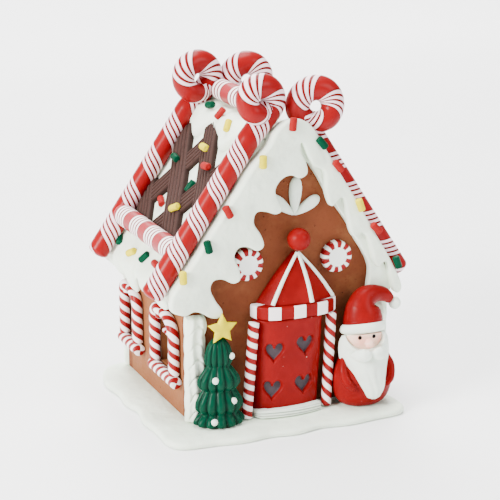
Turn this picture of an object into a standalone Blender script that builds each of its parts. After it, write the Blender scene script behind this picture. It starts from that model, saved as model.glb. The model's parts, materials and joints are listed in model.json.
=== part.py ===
"""Clay gingerbread house on a snow base.

Lengths are in millimetres up to make_object, which writes the meshes in metres.
X runs along the front wall, the front faces -Y, Z is up, and the ground is Z = 0.
The origin lies under the middle of the four walls.
"""
import math

import bpy
import bmesh
import numpy as np
from mathutils import Matrix, Vector

MM = 0.001
GAP = 0.3

# House body
HALF_WIDTH = 62.7
HALF_DEPTH = 50.4
WALL = 6.0
BASE_TOP = 4.4
FOOT = BASE_TOP + GAP

# Snow base: centre, half sizes, corner roundness and the waves of its rim
BASE_CENTRE = (-8.6, -12.4)
BASE_HALF = (75.6, 73.0)
BASE_POWER = 9.0
BASE_WAVE = 1.2
BASE_LOBES = 15

# Roof: the axes of the candy rails would meet at (RIDGE_X, RIDGE_Z)
RIDGE_X = -3.2
RIDGE_Z = 197.3
SLOPE = {"left": math.radians(54.9), "right": math.radians(56.7)}
SIGN = {"left": -1.0, "right": 1.0}
ROOF_DROP = 6.9
ROOF_THICK = 5.0
ROOF_START = 31.0
NOSE_END = {"left": 138.0, "right": 146.0}
RIDGE_TOP = 172.3
CAP_THICK = 6.0
EAVE_HOLLOW = 77.0
EAVE_SHIFT = {"left": 0.0, "right": -8.5}
EAVE_DRIPS = ((49, 11, 72.5), (33, 9, 70.5), (13, 9, 65.5), (-12, 11, 70.0), (-36, 11, 69.5))
DRIP_THICK = 4.6

# Candy rails and rolls
RAIL_RADIUS = 6.5
FRONT_RAIL_Y = -49.9
BACK_RAIL_Y = 45.1
LOOP_RADIUS = 9.3
LOOP_SWELL = 0.4
TUBE_SIDES = 8
RAILS = {
    # side, plane, lower end along the slope, middle of the loop, tightening over one turn
    "rail_front_left": ("left", FRONT_RAIL_Y, 138.3, (-17.0, 191.6), 0.34),
    "rail_front_right": ("right", FRONT_RAIL_Y, 138.6, (17.6, 187.0), 0.08),
    "rail_back_left": ("left", BACK_RAIL_Y, 138.6, (-17.2, 189.0), 0.08),
    "rail_back_right": ("right", BACK_RAIL_Y, 138.6, (15.8, 186.0), 0.08),
}
EAVE_ROLL_S = 111.5
CLEAR_FRONT = FRONT_RAIL_Y + RAIL_RADIUS + GAP
CLEAR_BACK = BACK_RAIL_Y - RAIL_RADIUS - GAP

# Dark strips on the roof: ends as (distance down the slope, Y), width and height
STRIPS = (
    ((37.5, 10), (84, -34), 13.5, 4.1),
    ((48, 40), (114, -26), 16.5, 4.3),
    ((88, 44), (118, 14), 15.0, 3.9),
    ((43, 2), (108, 43), 15.0, 3.2),
    ((52, -35), (112, 8), 14.5, 2.9),
    ((82, -45), (116, -20), 12.5, 2.6),
)
STRIP_LIFT = 0.05

# Gable snow: one layer on the wall, one in front of it
SNOW_BACK = (HALF_DEPTH + GAP, 55.8)
SNOW_FRONT = (55.3, 60.4)
SNOW_EDGE = (
    (-75, 75.2), (-70, 72.3), (-66, 71.4), (-61.5, 73.2), (-56.5, 71.6), (-50.5, 68),
    (-45, 68), (-43.9, 71.5), (-48, 78), (-51.2, 85.5), (-49.5, 90), (-44, 90.4),
    (-37, 87), (-33, 88.6), (-33.4, 95), (-36.5, 103), (-33.5, 107.8), (-28, 107.5),
    (-22, 104.6), (-18.2, 107), (-20, 114), (-24.4, 121.5), (-22.8, 127.4), (-17, 127.2),
    (-10.5, 125), (-7, 127), (-9, 132.5), (-11.2, 139), (-7.5, 145), (-1.5, 147),
    (4.6, 144.6), (8.8, 147), (8.2, 153), (5.0, 160), (4.6, 166), (8.2, 158.5),
    (13, 150.6), (17, 149), (19.3, 147), (20.2, 136), (24.5, 126), (28, 129),
    (30.9, 130.8), (34, 121), (37, 109.5), (40, 105.6), (43, 108.4), (46, 107),
    (49.5, 100), (53, 88.5), (56.3, 85.4), (59, 89), (61, 88), (63.6, 79),
    (66.5, 69.5), (69.5, 68), (71.6, 71.5),
)
SNOW_INNER = (
    (-70, 76.2), (-60, 75.5), (-52, 72), (-47.5, 72.5), (-51, 79), (-54, 86.5),
    (-51, 92.6), (-43, 93), (-37.6, 90.5), (-36.6, 96), (-39.2, 104), (-34.5, 110.4),
    (-27.5, 110.2), (-22, 108.5), (-27, 121), (-24.5, 130), (-16.5, 130.2), (-10.8, 129),
    (-13.8, 139), (-9, 147.4), (-1.5, 149.8), (5, 147.6), (10, 153), (23, 134),
    (30.2, 123.6), (37.6, 113.1), (42.4, 103.4), (47.8, 94.8), (52, 85), (52.3, 68),
    (64.5, 67.6), (66.5, 72),
)
SNOW_APEX = ((13.5, 171.5), (9.5, 176.2), (3.5, 179), (-4.5, 178.4), (-10.6, 173.6), (-14.8, 166))

# Corner icing: profile round the corner as (along the front, out from the front)
ICING_TOP = 67.2
ICING_LEVELS = 7

# Front wall trim
MINT_RADIUS = 9.6
MINT_THICK = 4.2
MINTS = {"mint_left": (-25.7, 95.3), "mint_right": (31.2, 93.6)}
PETAL_TIP = (4.2, 121.3)
PETALS = ((38.0, 8.6, 20.0), (0.0, 9.0, 22.4), (-56.0, 8.8, 17.6))

# Door
DOOR_X = -3.4
DOOR_LEAN = 3.0 / 58.0
DOOR_HALF = 21.3
DOOR_DEPTH = 14.0
DOOR_TOP = 62.7
DOOR_POWER = 2.8
HEARTS = ((-10.2, 42.6), (9.6, 44.6), (-10.2, 19.6), (9.8, 20.6))
HEART_SIZE = 9.6
HEART_DEPTH = 2.4
BAND_X = 1.2
BAND_HALF = 26.2
BAND_DEPTH = 14.9
BAND_HEIGHT = 7.8
COLUMN_RADIUS = 3.1
COLUMNS = {
    "door_column_left": ((-28.4, -61.0), (-25.6, -59.6)),
    "door_column_right": ((21.4, -60.4), (24.4, -59.6)),
}
CONE_FOOT = ((-21.5, -51.2), (-14.5, -61.4), (9.5, -64.4), (25.2, -57.6), (25.6, -51.2))
CONE_APEX = (4.0, -56.8, 100.4)
CONE_CUT = 0.80
RIB_CUT = 0.965
RIB_WIDTH = 2.5
BALL_RADIUS = 7.0
BALL_CENTRE = (4.2, -58.2, 108.4)
STEP_HEIGHT = 5.0

# Tree
TREE_X = -47.1
TREE_Y = -60.2
TREE_BACK = -57.9
TREE_DEPTH = 0.78
TREE_FLUTES = 10
TREE_PROFILE = (
    (55.0, 3.5), (52.2, 8.0), (46.5, 9.8), (42.6, 9.0), (41.2, 7.8),
    (33.5, 12.3), (28.6, 12.0), (27.2, 10.6), (19.5, 13.7),
    (14.2, 13.4), (12.8, 12.2), (6.4, 15.4), (FOOT, 14.6),
)
STAR_CENTRE = (-45.6, -63.1, 63.4)
STAR_OUTER = 9.5
STAR_INNER = 4.7
STAR_THICK = 4.0

# Santa figure
SANTA_X = 43.9
SANTA_Y = -63.6
SANTA_BACK = -57.7
SANTA_BODY = (
    (FOOT, 13.0, 9.0), (8.5, 16.2, 11.0), (18, 18.6, 12.2),
    (27, 17.8, 11.8), (34.4, 14.2, 9.9), (36.4, 11.0, 7.8),
)
HEAD_LEVELS = ((36.8, 7.0, 6.4), (39, 10.4, 9.4), (43, 12.2, 10.8), (47.6, 12.4, 11.0))
BEARD_LEVELS = (
    (9.8, 2.2, 12.8), (12.6, 6.8, 15.6), (19, 11.2, 17.5), (28, 14.8, 17.5),
    (38, 17.0, 15.6), (44.5, 15.8, 13.8), (47.6, 13.6, 12.6),
)
BAND_LEVELS = ((47.9, 12.6, 11.2), (49.6, 14.7, 12.7), (52.6, 14.6, 12.6), (54.2, 12.6, 11.2))
HAT_TILT = 0.27
HAT_SPINE = (
    (43.9, 54.5, 12.0), (43.7, 59, 11.5), (44.0, 64, 10.2), (45.6, 68.2, 8.2), (49.4, 70.4, 6.4),
    (54, 70.6, 5.0), (58.6, 69.2, 4.2), (62.6, 66.0, 3.0),
)
POMPOM_RADIUS = 3.7

# Windows of the left wall: places of the back and front post along Y; the right wall mirrors them
WINDOWS = {"back": (46.6, 23.4), "front": (-7.6, -38.6)}
CANE_RADIUS = 3.3
CANE_X = HALF_WIDTH + CANE_RADIUS + GAP
CANE_FOOT = 29.2
SILL_Z = 25.3
SILL_RADIUS = 3.6
HOLE_INSET = 1.2
HOLE_FOOT = 28.2
HOLE_SPRING = 52.0
HOLE_RISE = 0.8
CROSS_RADIUS = 2.0
CROSS_INSET = 2.4
CROSS_Z = 47.0

COLOURS = {
    "snow_icing": ((0.78, 0.80, 0.75), 0.45),
    "gingerbread": ((0.36, 0.15, 0.06), 0.6),
    "candy_stripe": ((0.60, 0.06, 0.05), 0.3),
    "chocolate": ((0.06, 0.03, 0.025), 0.5),
    "red_clay": ((0.45, 0.02, 0.015), 0.4),
    "tree_green": ((0.01, 0.13, 0.06), 0.4),
    "yellow_clay": ((0.85, 0.72, 0.08), 0.45),
    "skin_clay": ((0.85, 0.62, 0.50), 0.5),
    "mint_candy": ((0.75, 0.60, 0.58), 0.3),
}


# ---------------------------------------------------------------- helpers

def clear_scene():
    for old in list(bpy.data.objects):
        bpy.data.objects.remove(old)


def material(name):
    found = bpy.data.materials.get(name)
    if found:
        return found
    colour, roughness = COLOURS[name]
    made = bpy.data.materials.new(name)
    made.use_nodes = True
    shader = made.node_tree.nodes["Principled BSDF"]
    shader.inputs["Base Color"].default_value = (*colour, 1.0)
    shader.inputs["Roughness"].default_value = roughness
    shader.inputs["Metallic"].default_value = 0.0
    made.diffuse_color = (*colour, 1.0)
    return made


def make_object(name, shape, finish, sharp=40.0):
    """One closed object from (points in millimetres, faces), with its faces pointing out."""
    points, faces = shape
    mesh = bpy.data.meshes.new(name)
    mesh.from_pydata([tuple(float(c) * MM for c in p) for p in points], [], faces)
    work = bmesh.new()
    work.from_mesh(mesh)
    bmesh.ops.recalc_face_normals(work, faces=work.faces)
    work.to_mesh(mesh)
    work.free()
    mesh.materials.append(material(finish))
    mesh.shade_smooth()
    mesh.set_sharp_from_angle(angle=math.radians(sharp))
    made = bpy.data.objects.new(name, mesh)
    bpy.context.scene.collection.objects.link(made)
    return made


def make_cutter(name, shape):
    made = make_object("cut_" + name, shape, "snow_icing")
    made.hide_render = True
    made.display_type = "WIRE"
    return made


def combine(target, other, operation):
    """Boolean modifier: UNION, DIFFERENCE or INTERSECT of target with other."""
    step = target.modifiers.new(operation.lower(), "BOOLEAN")
    step.operation = operation
    step.solver = "EXACT"
    step.object = other


def box(low, high):
    corners = [(x, y, z) for x in (low[0], high[0]) for y in (low[1], high[1])
               for z in (low[2], high[2])]
    faces = [(0, 1, 3, 2), (4, 6, 7, 5), (0, 4, 5, 1), (2, 3, 7, 6), (0, 2, 6, 4), (1, 5, 7, 3)]
    return corners, faces


def loft(rings):
    """Closed skin over rings of equal point count, with a flat face on each end."""
    count = len(rings[0])
    points = [p for ring in rings for p in ring]
    faces = []
    for r in range(len(rings) - 1):
        for k in range(count):
            n = (k + 1) % count
            a, b = r * count, (r + 1) * count
            faces.append((a + k, a + n, b + n, b + k))
    faces.append(tuple(range(count)))
    last = (len(rings) - 1) * count
    faces.append(tuple(last + k for k in range(count)))
    return points, faces


def inset_loop(loop, amount):
    """The 2-D loop moved inwards by amount along its corner normals."""
    loop = np.asarray(loop, float)
    along = np.roll(loop, -1, 0) - np.roll(loop, 1, 0)
    normal = np.stack([along[:, 1], -along[:, 0]], 1)
    normal /= np.linalg.norm(normal, axis=1)[:, None] + 1e-9
    x, y = loop[:, 0], loop[:, 1]
    area = 0.5 * np.sum(x * np.roll(y, -1) - y * np.roll(x, -1))
    return loop - math.copysign(1.0, area) * normal * amount


def gable_plate(loop, levels, way):
    """Plate of an (X, Z) loop: levels are (distance from the middle plane, inset)."""
    rings = []
    for depth, inset in levels:
        rings.append([(x, way * depth, z) for x, z in inset_loop(loop, inset)])
    return loft(rings)


def sweep(path, radii, sides, flat=1.0):
    """Tube along path with one radius to each point; flat scales it across the path's plane."""
    path = np.array(path, float)
    tangent = np.gradient(path, axis=0)
    tangent /= np.linalg.norm(tangent, axis=1)[:, None]
    side = np.array([1.0, 0.0, 0.0]) if abs(tangent[0][1]) > 0.9 else np.array([0.0, 1.0, 0.0])
    rings = []
    for place, t, radius in zip(path, tangent, radii):
        side = side - t * side.dot(t)
        side /= np.linalg.norm(side)
        up = np.cross(t, side)
        turns = [2 * math.pi * (k + 0.5) / sides for k in range(sides)]
        rings.append([place + radius * (flat * math.cos(a) * side + math.sin(a) * up)
                      for a in turns])
    return loft(rings)


def oval_rings(levels, centre, segments, back=None, tilt=0.0, grow=0.0, tilt_from=None):
    """Level ovals: (z, half width, half depth), cut flat at Y = back and tilted up at the front."""
    rings = []
    for z, rx, ry in levels:
        ring = []
        for k in range(segments):
            a = 2 * math.pi * k / segments
            x = centre[0] + (rx + grow) * math.cos(a)
            y = centre[1] + (ry + grow) * math.sin(a)
            if back is not None:
                y = min(y, back)
            share = 1.0 if tilt_from is None else min(max((z - tilt_from) / 9.0, 0.0), 1.0)
            ring.append((x, y, z + tilt * share * (centre[1] - y)))
        rings.append(ring)
    return loft(rings)


def ball(centre, radius, rings=8, segments=12, stretch=(1, 1, 1)):
    """Globe of rings and segments, closed by a small flat face at each pole."""
    rows = []
    for r in range(rings):
        lat = math.pi * (r + 0.5) / rings - math.pi / 2
        rows.append([(centre[0] + stretch[0] * radius * math.cos(lat) * math.cos(a),
                      centre[1] + stretch[1] * radius * math.cos(lat) * math.sin(a),
                      centre[2] + stretch[2] * radius * math.sin(lat))
                     for a in (2 * math.pi * k / segments for k in range(segments))])
    return loft(rows)


def slope_point(side, along, off):
    """(X, Z) at a distance down the slope from the rails' meeting point, and off it outwards."""
    a, sign = SLOPE[side], SIGN[side]
    x = RIDGE_X + sign * (along * math.cos(a) + off * math.sin(a))
    z = RIDGE_Z - along * math.sin(a) + off * math.cos(a)
    return x, z


# ---------------------------------------------------------------- base and walls

def make_base():
    count = 64
    loop = []
    for k in range(count):
        a = 2 * math.pi * k / count
        a += 0.12 * math.sin(4 * a)
        c, s = math.cos(a), math.sin(a)
        reach = (abs(c) ** BASE_POWER + abs(s) ** BASE_POWER) ** (-1 / BASE_POWER)
        wave = BASE_WAVE * (math.sin(BASE_LOBES * a) + 0.5 * math.sin(7 * a + 1.0))
        loop.append((BASE_CENTRE[0] + BASE_HALF[0] * reach * c + wave * c,
                     BASE_CENTRE[1] + BASE_HALF[1] * reach * s + wave * s))
    rings = []
    for z, inset in ((0.0, 0.4), (2.6, 0.0), (BASE_TOP, 2.2)):
        rings.append([(x, y, z) for x, y in inset_loop(loop, inset)])
    make_object("snow_base", loft(rings), "snow_icing")


def gable_loop():
    """Outline of the front and back walls under the roof, with a flat top below the ridge cap."""
    under = -(ROOF_DROP + ROOF_THICK + GAP)
    top = RIDGE_TOP - CAP_THICK - 1.4

    def height(side, x):
        along = (abs(x - RIDGE_X) + under * -math.sin(SLOPE[side])) / math.cos(SLOPE[side])
        return slope_point(side, along, under)[1]

    def reach(side):
        along = (RIDGE_Z + under * math.cos(SLOPE[side]) - top) / math.sin(SLOPE[side])
        return slope_point(side, along, under)[0]

    return [(-HALF_WIDTH, FOOT), (HALF_WIDTH, FOOT), (HALF_WIDTH, height("right", HALF_WIDTH)),
            (reach("right"), top), (reach("left"), top), (-HALF_WIDTH, height("left", -HALF_WIDTH))]


def make_gables():
    loop = gable_loop()
    for name, way in (("front_wall", -1.0), ("back_wall", 1.0)):
        levels = ((HALF_DEPTH - WALL, 0.0), (HALF_DEPTH, 0.0))
        make_object(name, gable_plate(loop, levels, way), "gingerbread")


def hole_span(near, far):
    """Lower and upper Y of a window hole, kept clear of the back wall."""
    return far + HOLE_INSET, min(near - HOLE_INSET, HALF_DEPTH - WALL - 2.0)


def window_hole(near, far, drop):
    """Arched (Y, Z) outline between two posts."""
    low, high = hole_span(near, far)
    middle, half = 0.5 * (low + high), 0.5 * (high - low)
    spring = HOLE_SPRING + drop
    loop = [(low, HOLE_FOOT + drop), (high, HOLE_FOOT + drop)]
    for k in range(7):
        a = math.pi * k / 6
        loop.append((middle + half * math.cos(a), spring + HOLE_RISE * half * math.sin(a)))
    return loop


def make_side_walls():
    under = -(ROOF_DROP + ROOF_THICK + GAP)
    reach = HALF_DEPTH - WALL - GAP
    for side in ("left", "right"):
        sign = SIGN[side]

        def top(x):
            along = (sign * (x - RIDGE_X) - under * math.sin(SLOPE[side])) / math.cos(SLOPE[side])
            return slope_point(side, along, under)[1]

        outer, inner = sign * HALF_WIDTH, sign * (HALF_WIDTH - WALL)
        section = [(outer, FOOT), (inner, FOOT), (inner, top(inner)), (outer, top(outer))]
        rings = [[(x, y, z) for x, z in section] for y in (-reach, reach)]
        wall = make_object(side + "_wall", loft(rings), "gingerbread")
        for row, (near, far) in WINDOWS.items():
            hole = window_hole(near, far, EAVE_SHIFT[side])
            rings = [[(sign * x, y, z) for y, z in hole]
                     for x in (HALF_WIDTH - 2 * WALL, HALF_WIDTH + WALL)]
            combine(wall, make_cutter(f"{side}_{row}_hole", loft(rings)), "DIFFERENCE")


def make_corner_icing():
    """Lumpy strip on the gable along each corner."""
    for row, way in (("front", -1.0), ("back", 1.0)):
        for side, sign in SIGN.items():
            rings = []
            for k in range(ICING_LEVELS):
                t = k / (ICING_LEVELS - 1)
                z = FOOT + t * (ICING_TOP - FOOT)
                swell = 0.45 * math.sin(5.2 * math.pi * t + sign) + 0.25 * math.sin(11 * t + way)
                taper = 1.0 if 0 < k < ICING_LEVELS - 1 else 0.55
                wide = 11.0 + swell
                thick = (6.4 + 0.8 * swell) * taper
                corner, face = HALF_WIDTH + GAP, HALF_DEPTH + GAP
                profile = [(-wide, 0.0), (-wide + 1.2, 0.65 * thick), (-wide + 4.5, thick),
                           (-0.6, 0.8 * thick), (1.8 * taper, 0.3 * thick), (1.4 * taper, 0.0)]
                rings.append([(sign * (corner + u), way * (face + v), z) for u, v in profile])
            make_object(f"icing_{row}_{side}", loft(rings), "snow_icing")


# ---------------------------------------------------------------- roof

def drip_height(y):
    """Lowest Z of the eave snow at y: hollows between rounded drips."""
    low = EAVE_HOLLOW
    for middle, half, tip in EAVE_DRIPS:
        u = abs(y - middle) / half
        if u < 1:
            low = min(low, EAVE_HOLLOW - (EAVE_HOLLOW - tip) * (1 - u * u) ** 0.6)
    return low


def make_roof(side):
    """Slab down the slope whose lower edge turns down into drips."""
    sign = SIGN[side]
    stations = 21
    rings = []
    end, under = NOSE_END[side], -ROOF_DROP - ROOF_THICK
    for k in range(stations):
        y = -HALF_DEPTH + 2 * HALF_DEPTH * k / (stations - 1)
        tip = drip_height(y) + EAVE_SHIFT[side]
        nose_x, nose_z = slope_point(side, end, -ROOF_DROP - 1.6)
        outer = sign * nose_x - 0.22 * (nose_z - tip)
        inner = outer - 0.85 * DRIP_THICK
        meet = (inner - sign * RIDGE_X - under * math.sin(SLOPE[side])) / math.cos(SLOPE[side])
        section = [
            slope_point(side, ROOF_START, -ROOF_DROP),
            slope_point(side, end - 6.0, -ROOF_DROP),
            (nose_x, nose_z),
            (sign * outer, tip + 1.6),
            (sign * (outer - 0.35 * DRIP_THICK), tip),
            (sign * inner, tip + 0.6),
            slope_point(side, meet, under),
            slope_point(side, ROOF_START, under),
        ]
        rings.append([(x, y, z) for x, z in section])
    make_object("roof_" + side, loft(rings), "snow_icing")


def cap_edge(y, side):
    """How far down the slope the ridge snow reaches at y."""
    shift = 0.0 if side == "left" else 1.7
    return 43.0 + 4.2 * math.sin(0.145 * y + 3.6 + shift) + 1.6 * math.sin(0.31 * y + shift)


def ridge_cap_rings(grow=0.0):
    """Sections of the snow over the ridge, from its left edge over the top to its right edge."""
    rings = []
    stations = 13
    for k in range(stations):
        y = -HALF_DEPTH + 2 * HALF_DEPTH * k / (stations - 1)
        upper = {}
        for side in ("left", "right"):
            edge = cap_edge(y, side)
            upper[side] = [slope_point(side, edge + grow, -ROOF_DROP + GAP - grow),
                           slope_point(side, edge - 2.4 + grow, -ROOF_DROP + 3.8 + grow),
                           slope_point(side, 30.8, -ROOF_DROP + 4.4 + grow)]
        flat = [(RIDGE_X - 8.5, RIDGE_TOP), (RIDGE_X + 8.5, RIDGE_TOP)]
        below = [slope_point("right", ROOF_START - 0.5, -ROOF_DROP + GAP - grow),
                 (RIDGE_X + 9, RIDGE_TOP - CAP_THICK), (RIDGE_X - 9, RIDGE_TOP - CAP_THICK),
                 slope_point("left", ROOF_START - 0.5, -ROOF_DROP + GAP - grow)]
        section = upper["left"] + flat + upper["right"][::-1] + below
        rings.append([(x, y, z) for x, z in section])
    return rings


def make_ridge_cap(rail_cutters):
    cap = make_object("ridge_snow", loft(ridge_cap_rings()), "snow_icing")
    for cutter in rail_cutters.values():
        combine(cap, cutter, "DIFFERENCE")
    reach = 8.0
    middle = (RIDGE_X, RIDGE_TOP + RAIL_RADIUS + GAP)
    roll = [(middle[0], y, middle[1]) for y in (CLEAR_FRONT + reach, CLEAR_BACK)]
    shape = sweep(roll, [RAIL_RADIUS] * 2, TUBE_SIDES)
    made = make_object("ridge_roll", shape, "candy_stripe")
    for cutter in rail_cutters.values():
        combine(made, cutter, "DIFFERENCE")


def rail_paths(name, grow=0.0):
    """Two overlapping tubes: up the slope and half round the loop, and the rest of the loop."""
    side, plane, end, (mx, mz), wind = RAILS[name]
    sign, slope = SIGN[side], SLOPE[side]
    start = -(math.pi / 2 - slope)
    radius = LOOP_RADIUS

    def loop_point(angle):
        turn = (angle - start) / (2 * math.pi)
        r = radius * (1.04 - wind * turn)
        lean = 2.6 - 9.0 * turn
        return (mx - sign * r * math.cos(angle), plane + lean, mz + r * math.sin(angle))

    first = [loop_point(start + k * math.radians(27)) for k in range(1, 8)]
    joint = loop_point(start)
    low = slope_point(side, end, 0.0)
    bend = slope_point(side, 40.0, 0.0)
    rise = slope_point(side, 30.0, 0.0)
    straight = [(low[0], plane, low[1]), (bend[0], plane, bend[1])]
    blend = []
    for t in (0.5, 1.0):
        blend.append((rise[0] + (joint[0] - rise[0]) * t, plane + 2.6 * t,
                      rise[1] + (joint[2] - rise[1]) * t))
    path = straight + blend + first
    swollen = RAIL_RADIUS + LOOP_SWELL + grow
    radii = [RAIL_RADIUS + grow] * 4 + [swollen] * len(first)
    back = [loop_point(start + math.radians(178 + k * 26)) for k in range(7)]
    thin = [swollen - 0.15 - 0.15 * k for k in range(7)]
    return (path, radii), (back, thin)


def make_rails():
    """The four candy rails; returns slightly larger copies for cutting their neighbours."""
    cutters = {}
    for name in RAILS:
        (path, radii), (back, thin) = rail_paths(name)
        rail = make_object(name, sweep(path, radii, TUBE_SIDES), "candy_stripe")
        rest = make_cutter(name + "_loop", sweep(back, thin, TUBE_SIDES))
        combine(rail, rest, "UNION")
        (path, radii), (back, thin) = rail_paths(name, 2 * GAP)
        cutters[name] = make_cutter(name + "_grown", sweep(path, radii, TUBE_SIDES))
        rest = make_cutter(name + "_loop_grown", sweep(back, thin, TUBE_SIDES))
        combine(cutters[name], rest, "UNION")
    return cutters


def make_eave_roll(side):
    x, z = slope_point(side, EAVE_ROLL_S, GAP)
    path = [(x, y, z) for y in (CLEAR_FRONT, CLEAR_BACK)]
    make_object("eave_roll_" + side, sweep(path, [RAIL_RADIUS] * 2, TUBE_SIDES + 2), "candy_stripe")


def strip_shape(side, order):
    """Flat-topped strip lying on the roof between two (down the slope, Y) points."""
    start, end, width, height = STRIPS[order]
    start, end = np.array(start, float), np.array(end, float)
    along = (end - start) / np.linalg.norm(end - start)
    across = np.array([-along[1], along[0]])
    profile = [(-0.5 * width, 0.0), (-0.44 * width, height), (0.44 * width, height),
               (0.5 * width, 0.0)]
    rings = []
    for foot in (start, end):
        ring = []
        for u, h in profile:
            s, y = foot + across * u
            x, z = slope_point(side, s, -ROOF_DROP + GAP + STRIP_LIFT * order + h)
            ring.append((x, y, z))
        rings.append(ring)
    return loft(rings)


def make_lattice(side):
    lattice = make_object("lattice_" + side, strip_shape(side, 0), "chocolate")
    for k in range(1, len(STRIPS)):
        combine(lattice, make_cutter(f"strip_{side}_{k}", strip_shape(side, k)), "UNION")
    lower = EAVE_ROLL_S - RAIL_RADIUS - GAP
    corners = [slope_point(side, s, off) for s, off in
               ((25.0, -8.0), (lower, -8.0), (lower, 2.0), (25.0, 2.0))]
    rings = [[(x, y, z) for x, z in corners] for y in (CLEAR_FRONT, CLEAR_BACK)]
    combine(lattice, make_cutter(f"field_{side}", loft(rings)), "INTERSECT")
    combine(lattice, make_cutter(f"cap_{side}", loft(ridge_cap_rings(GAP + 0.2))), "DIFFERENCE")


# ---------------------------------------------------------------- gable snow

def make_gable_snow(row, way, rail_cutters):
    """Snow over the gable: a layer on the wall, and a dripping layer in front, as one piece."""
    left = [slope_point("left", s, -ROOF_DROP) for s in (48, 93, 134)]
    right_front = [slope_point("right", s, off) for s, off in ((128, -3.4), (84, -1.6), (44, -0.6))]
    right_back = [slope_point("right", s, -ROOF_DROP) for s in (130, 84, 40)]
    outer = list(SNOW_EDGE) + right_front + list(SNOW_APEX) + left
    inner = list(SNOW_INNER) + right_back + [(x, z - 1.2) for x, z in SNOW_APEX[1:]] + left
    front = np.array(outer)
    near, far = SNOW_FRONT
    levels = ((near, 0.0), (far - 1.6, 0.1), (far, 1.5))
    snow = make_object(row + "_snow", gable_plate(front, levels, way), "snow_icing")
    near, far = SNOW_BACK
    wall_layer = gable_plate(np.array(inner), ((near, 0.0), (far, 0.0)), way)
    combine(snow, make_cutter(row + "_wall_layer", wall_layer), "UNION")
    for name, cutter in rail_cutters.items():
        if name.startswith("rail_" + row):
            combine(snow, cutter, "DIFFERENCE")


# ---------------------------------------------------------------- front trim

def make_mints():
    face = HALF_DEPTH + GAP
    for name, (x, z) in MINTS.items():
        rings = []
        for depth, radius in ((0.0, 1.0), (3.0, 1.0), (MINT_THICK, 0.87)):
            rings.append([(x + MINT_RADIUS * radius * math.cos(a), -face - depth,
                           z + MINT_RADIUS * radius * math.sin(a))
                          for a in (2 * math.pi * k / 18 for k in range(18))])
        make_object(name, loft(rings), "mint_candy")


def petal_loop(turn, width, length):
    """Pointed oval from the shared tip, its axis turned from straight up."""
    c, s = math.cos(math.radians(turn)), math.sin(math.radians(turn))
    loop = []
    for k in range(10):
        a = 2 * math.pi * k / 10
        v = 0.5 * length * (1 - math.cos(a))
        u = 0.5 * width * math.sin(a) * (0.55 + 0.45 * v / length)
        loop.append((PETAL_TIP[0] - s * v + c * u, PETAL_TIP[1] + c * v + s * u))
    return loop


def make_petals():
    made = None
    for k, petal in enumerate(PETALS):
        near = HALF_DEPTH + GAP
        rise = 2.6 + 0.7 * (k == 1)
        levels = ((near, 0.0), (near + rise - 1.0, 0.2), (near + rise, 1.4))
        shape = gable_plate(np.array(petal_loop(*petal)), levels, -1.0)
        if made is None:
            made = make_object("icing_petals", shape, "snow_icing")
        else:
            combine(made, make_cutter(f"petal_{k}", shape), "UNION")


# ---------------------------------------------------------------- door

def bow(half, depth, steps, grow=0.0):
    """Half of a rounded plan outline: points from the left foot round the front to the right."""
    out = []
    for k in range(steps + 1):
        a = math.pi * k / steps
        c, s = -math.cos(a), math.sin(a)
        reach = (abs(c) ** DOOR_POWER + abs(s) ** DOOR_POWER) ** (-1 / DOOR_POWER)
        out.append(((half + grow) * reach * c, -(HALF_DEPTH + GAP) - (depth + grow) * reach * s))
    return out


def lean_x(z):
    return DOOR_X + DOOR_LEAN * (z - FOOT)


def heart_loop(size, steps=10):
    """Heart outline about (0, 0), point down."""
    loop = []
    for k in range(steps):
        t = 2 * math.pi * k / steps
        x = 16 * math.sin(t) ** 3
        z = 13 * math.cos(t) - 5 * math.cos(2 * t) - 2 * math.cos(3 * t) - math.cos(4 * t)
        loop.append((x * size / 32, z * size / 32))
    return loop


def make_door():
    """Bowed door of one piece with four heart-shaped recesses in its face."""
    rings = []
    for z in (FOOT, DOOR_TOP):
        shift = lean_x(z)
        rings.append([(x + shift, min(y, -(HALF_DEPTH + GAP)), z)
                      for x, y in bow(DOOR_HALF, DOOR_DEPTH, 14)])
    door = make_object("door", loft(rings), "red_clay")
    for k, (x, z) in enumerate(HEARTS):
        reach = 1 - (abs(x) / DOOR_HALF) ** DOOR_POWER
        y = -(HALF_DEPTH + GAP) - DOOR_DEPTH * reach ** (1 / DOOR_POWER)
        slant = (abs(x) / DOOR_HALF) ** (DOOR_POWER - 1) * DOOR_DEPTH / DOOR_HALF
        turn = math.copysign(math.atan(slant * reach ** (1 / DOOR_POWER - 1)), x)
        turned = Matrix.Rotation(turn, 3, "Z")
        rings = []
        for depth in (-6.0, HEART_DEPTH):
            ring = []
            for u, v in heart_loop(HEART_SIZE):
                p = turned @ Vector((u, depth, v))
                ring.append((x + lean_x(z) + p.x, y + p.y, z + p.z))
            rings.append(ring)
        combine(door, make_cutter(f"heart_{k}", loft(rings)), "DIFFERENCE")


def make_door_band():
    low = DOOR_TOP + GAP
    rings = []
    for z, grow in ((low, -0.5), (low + 0.6, 0.0), (low + BAND_HEIGHT - 0.6, 0.0),
                    (low + BAND_HEIGHT, -0.5)):
        rings.append([(x + BAND_X, min(y, -(HALF_DEPTH + GAP)), z)
                      for x, y in bow(BAND_HALF, BAND_DEPTH, 14, grow)])
    make_object("door_band", loft(rings), "red_clay")


def cone_point(foot, t, lift=0.0):
    """Point on the line from a foot corner (t = 0) to the apex (t = 1)."""
    low = DOOR_TOP + BAND_HEIGHT + 2 * GAP
    apex = Vector(CONE_APEX)
    start = Vector((foot[0], foot[1], low))
    centre = Vector((CONE_APEX[0], -(HALF_DEPTH + GAP), low))
    out = (start - centre).normalized()
    return start.lerp(apex, t) + out * lift


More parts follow.
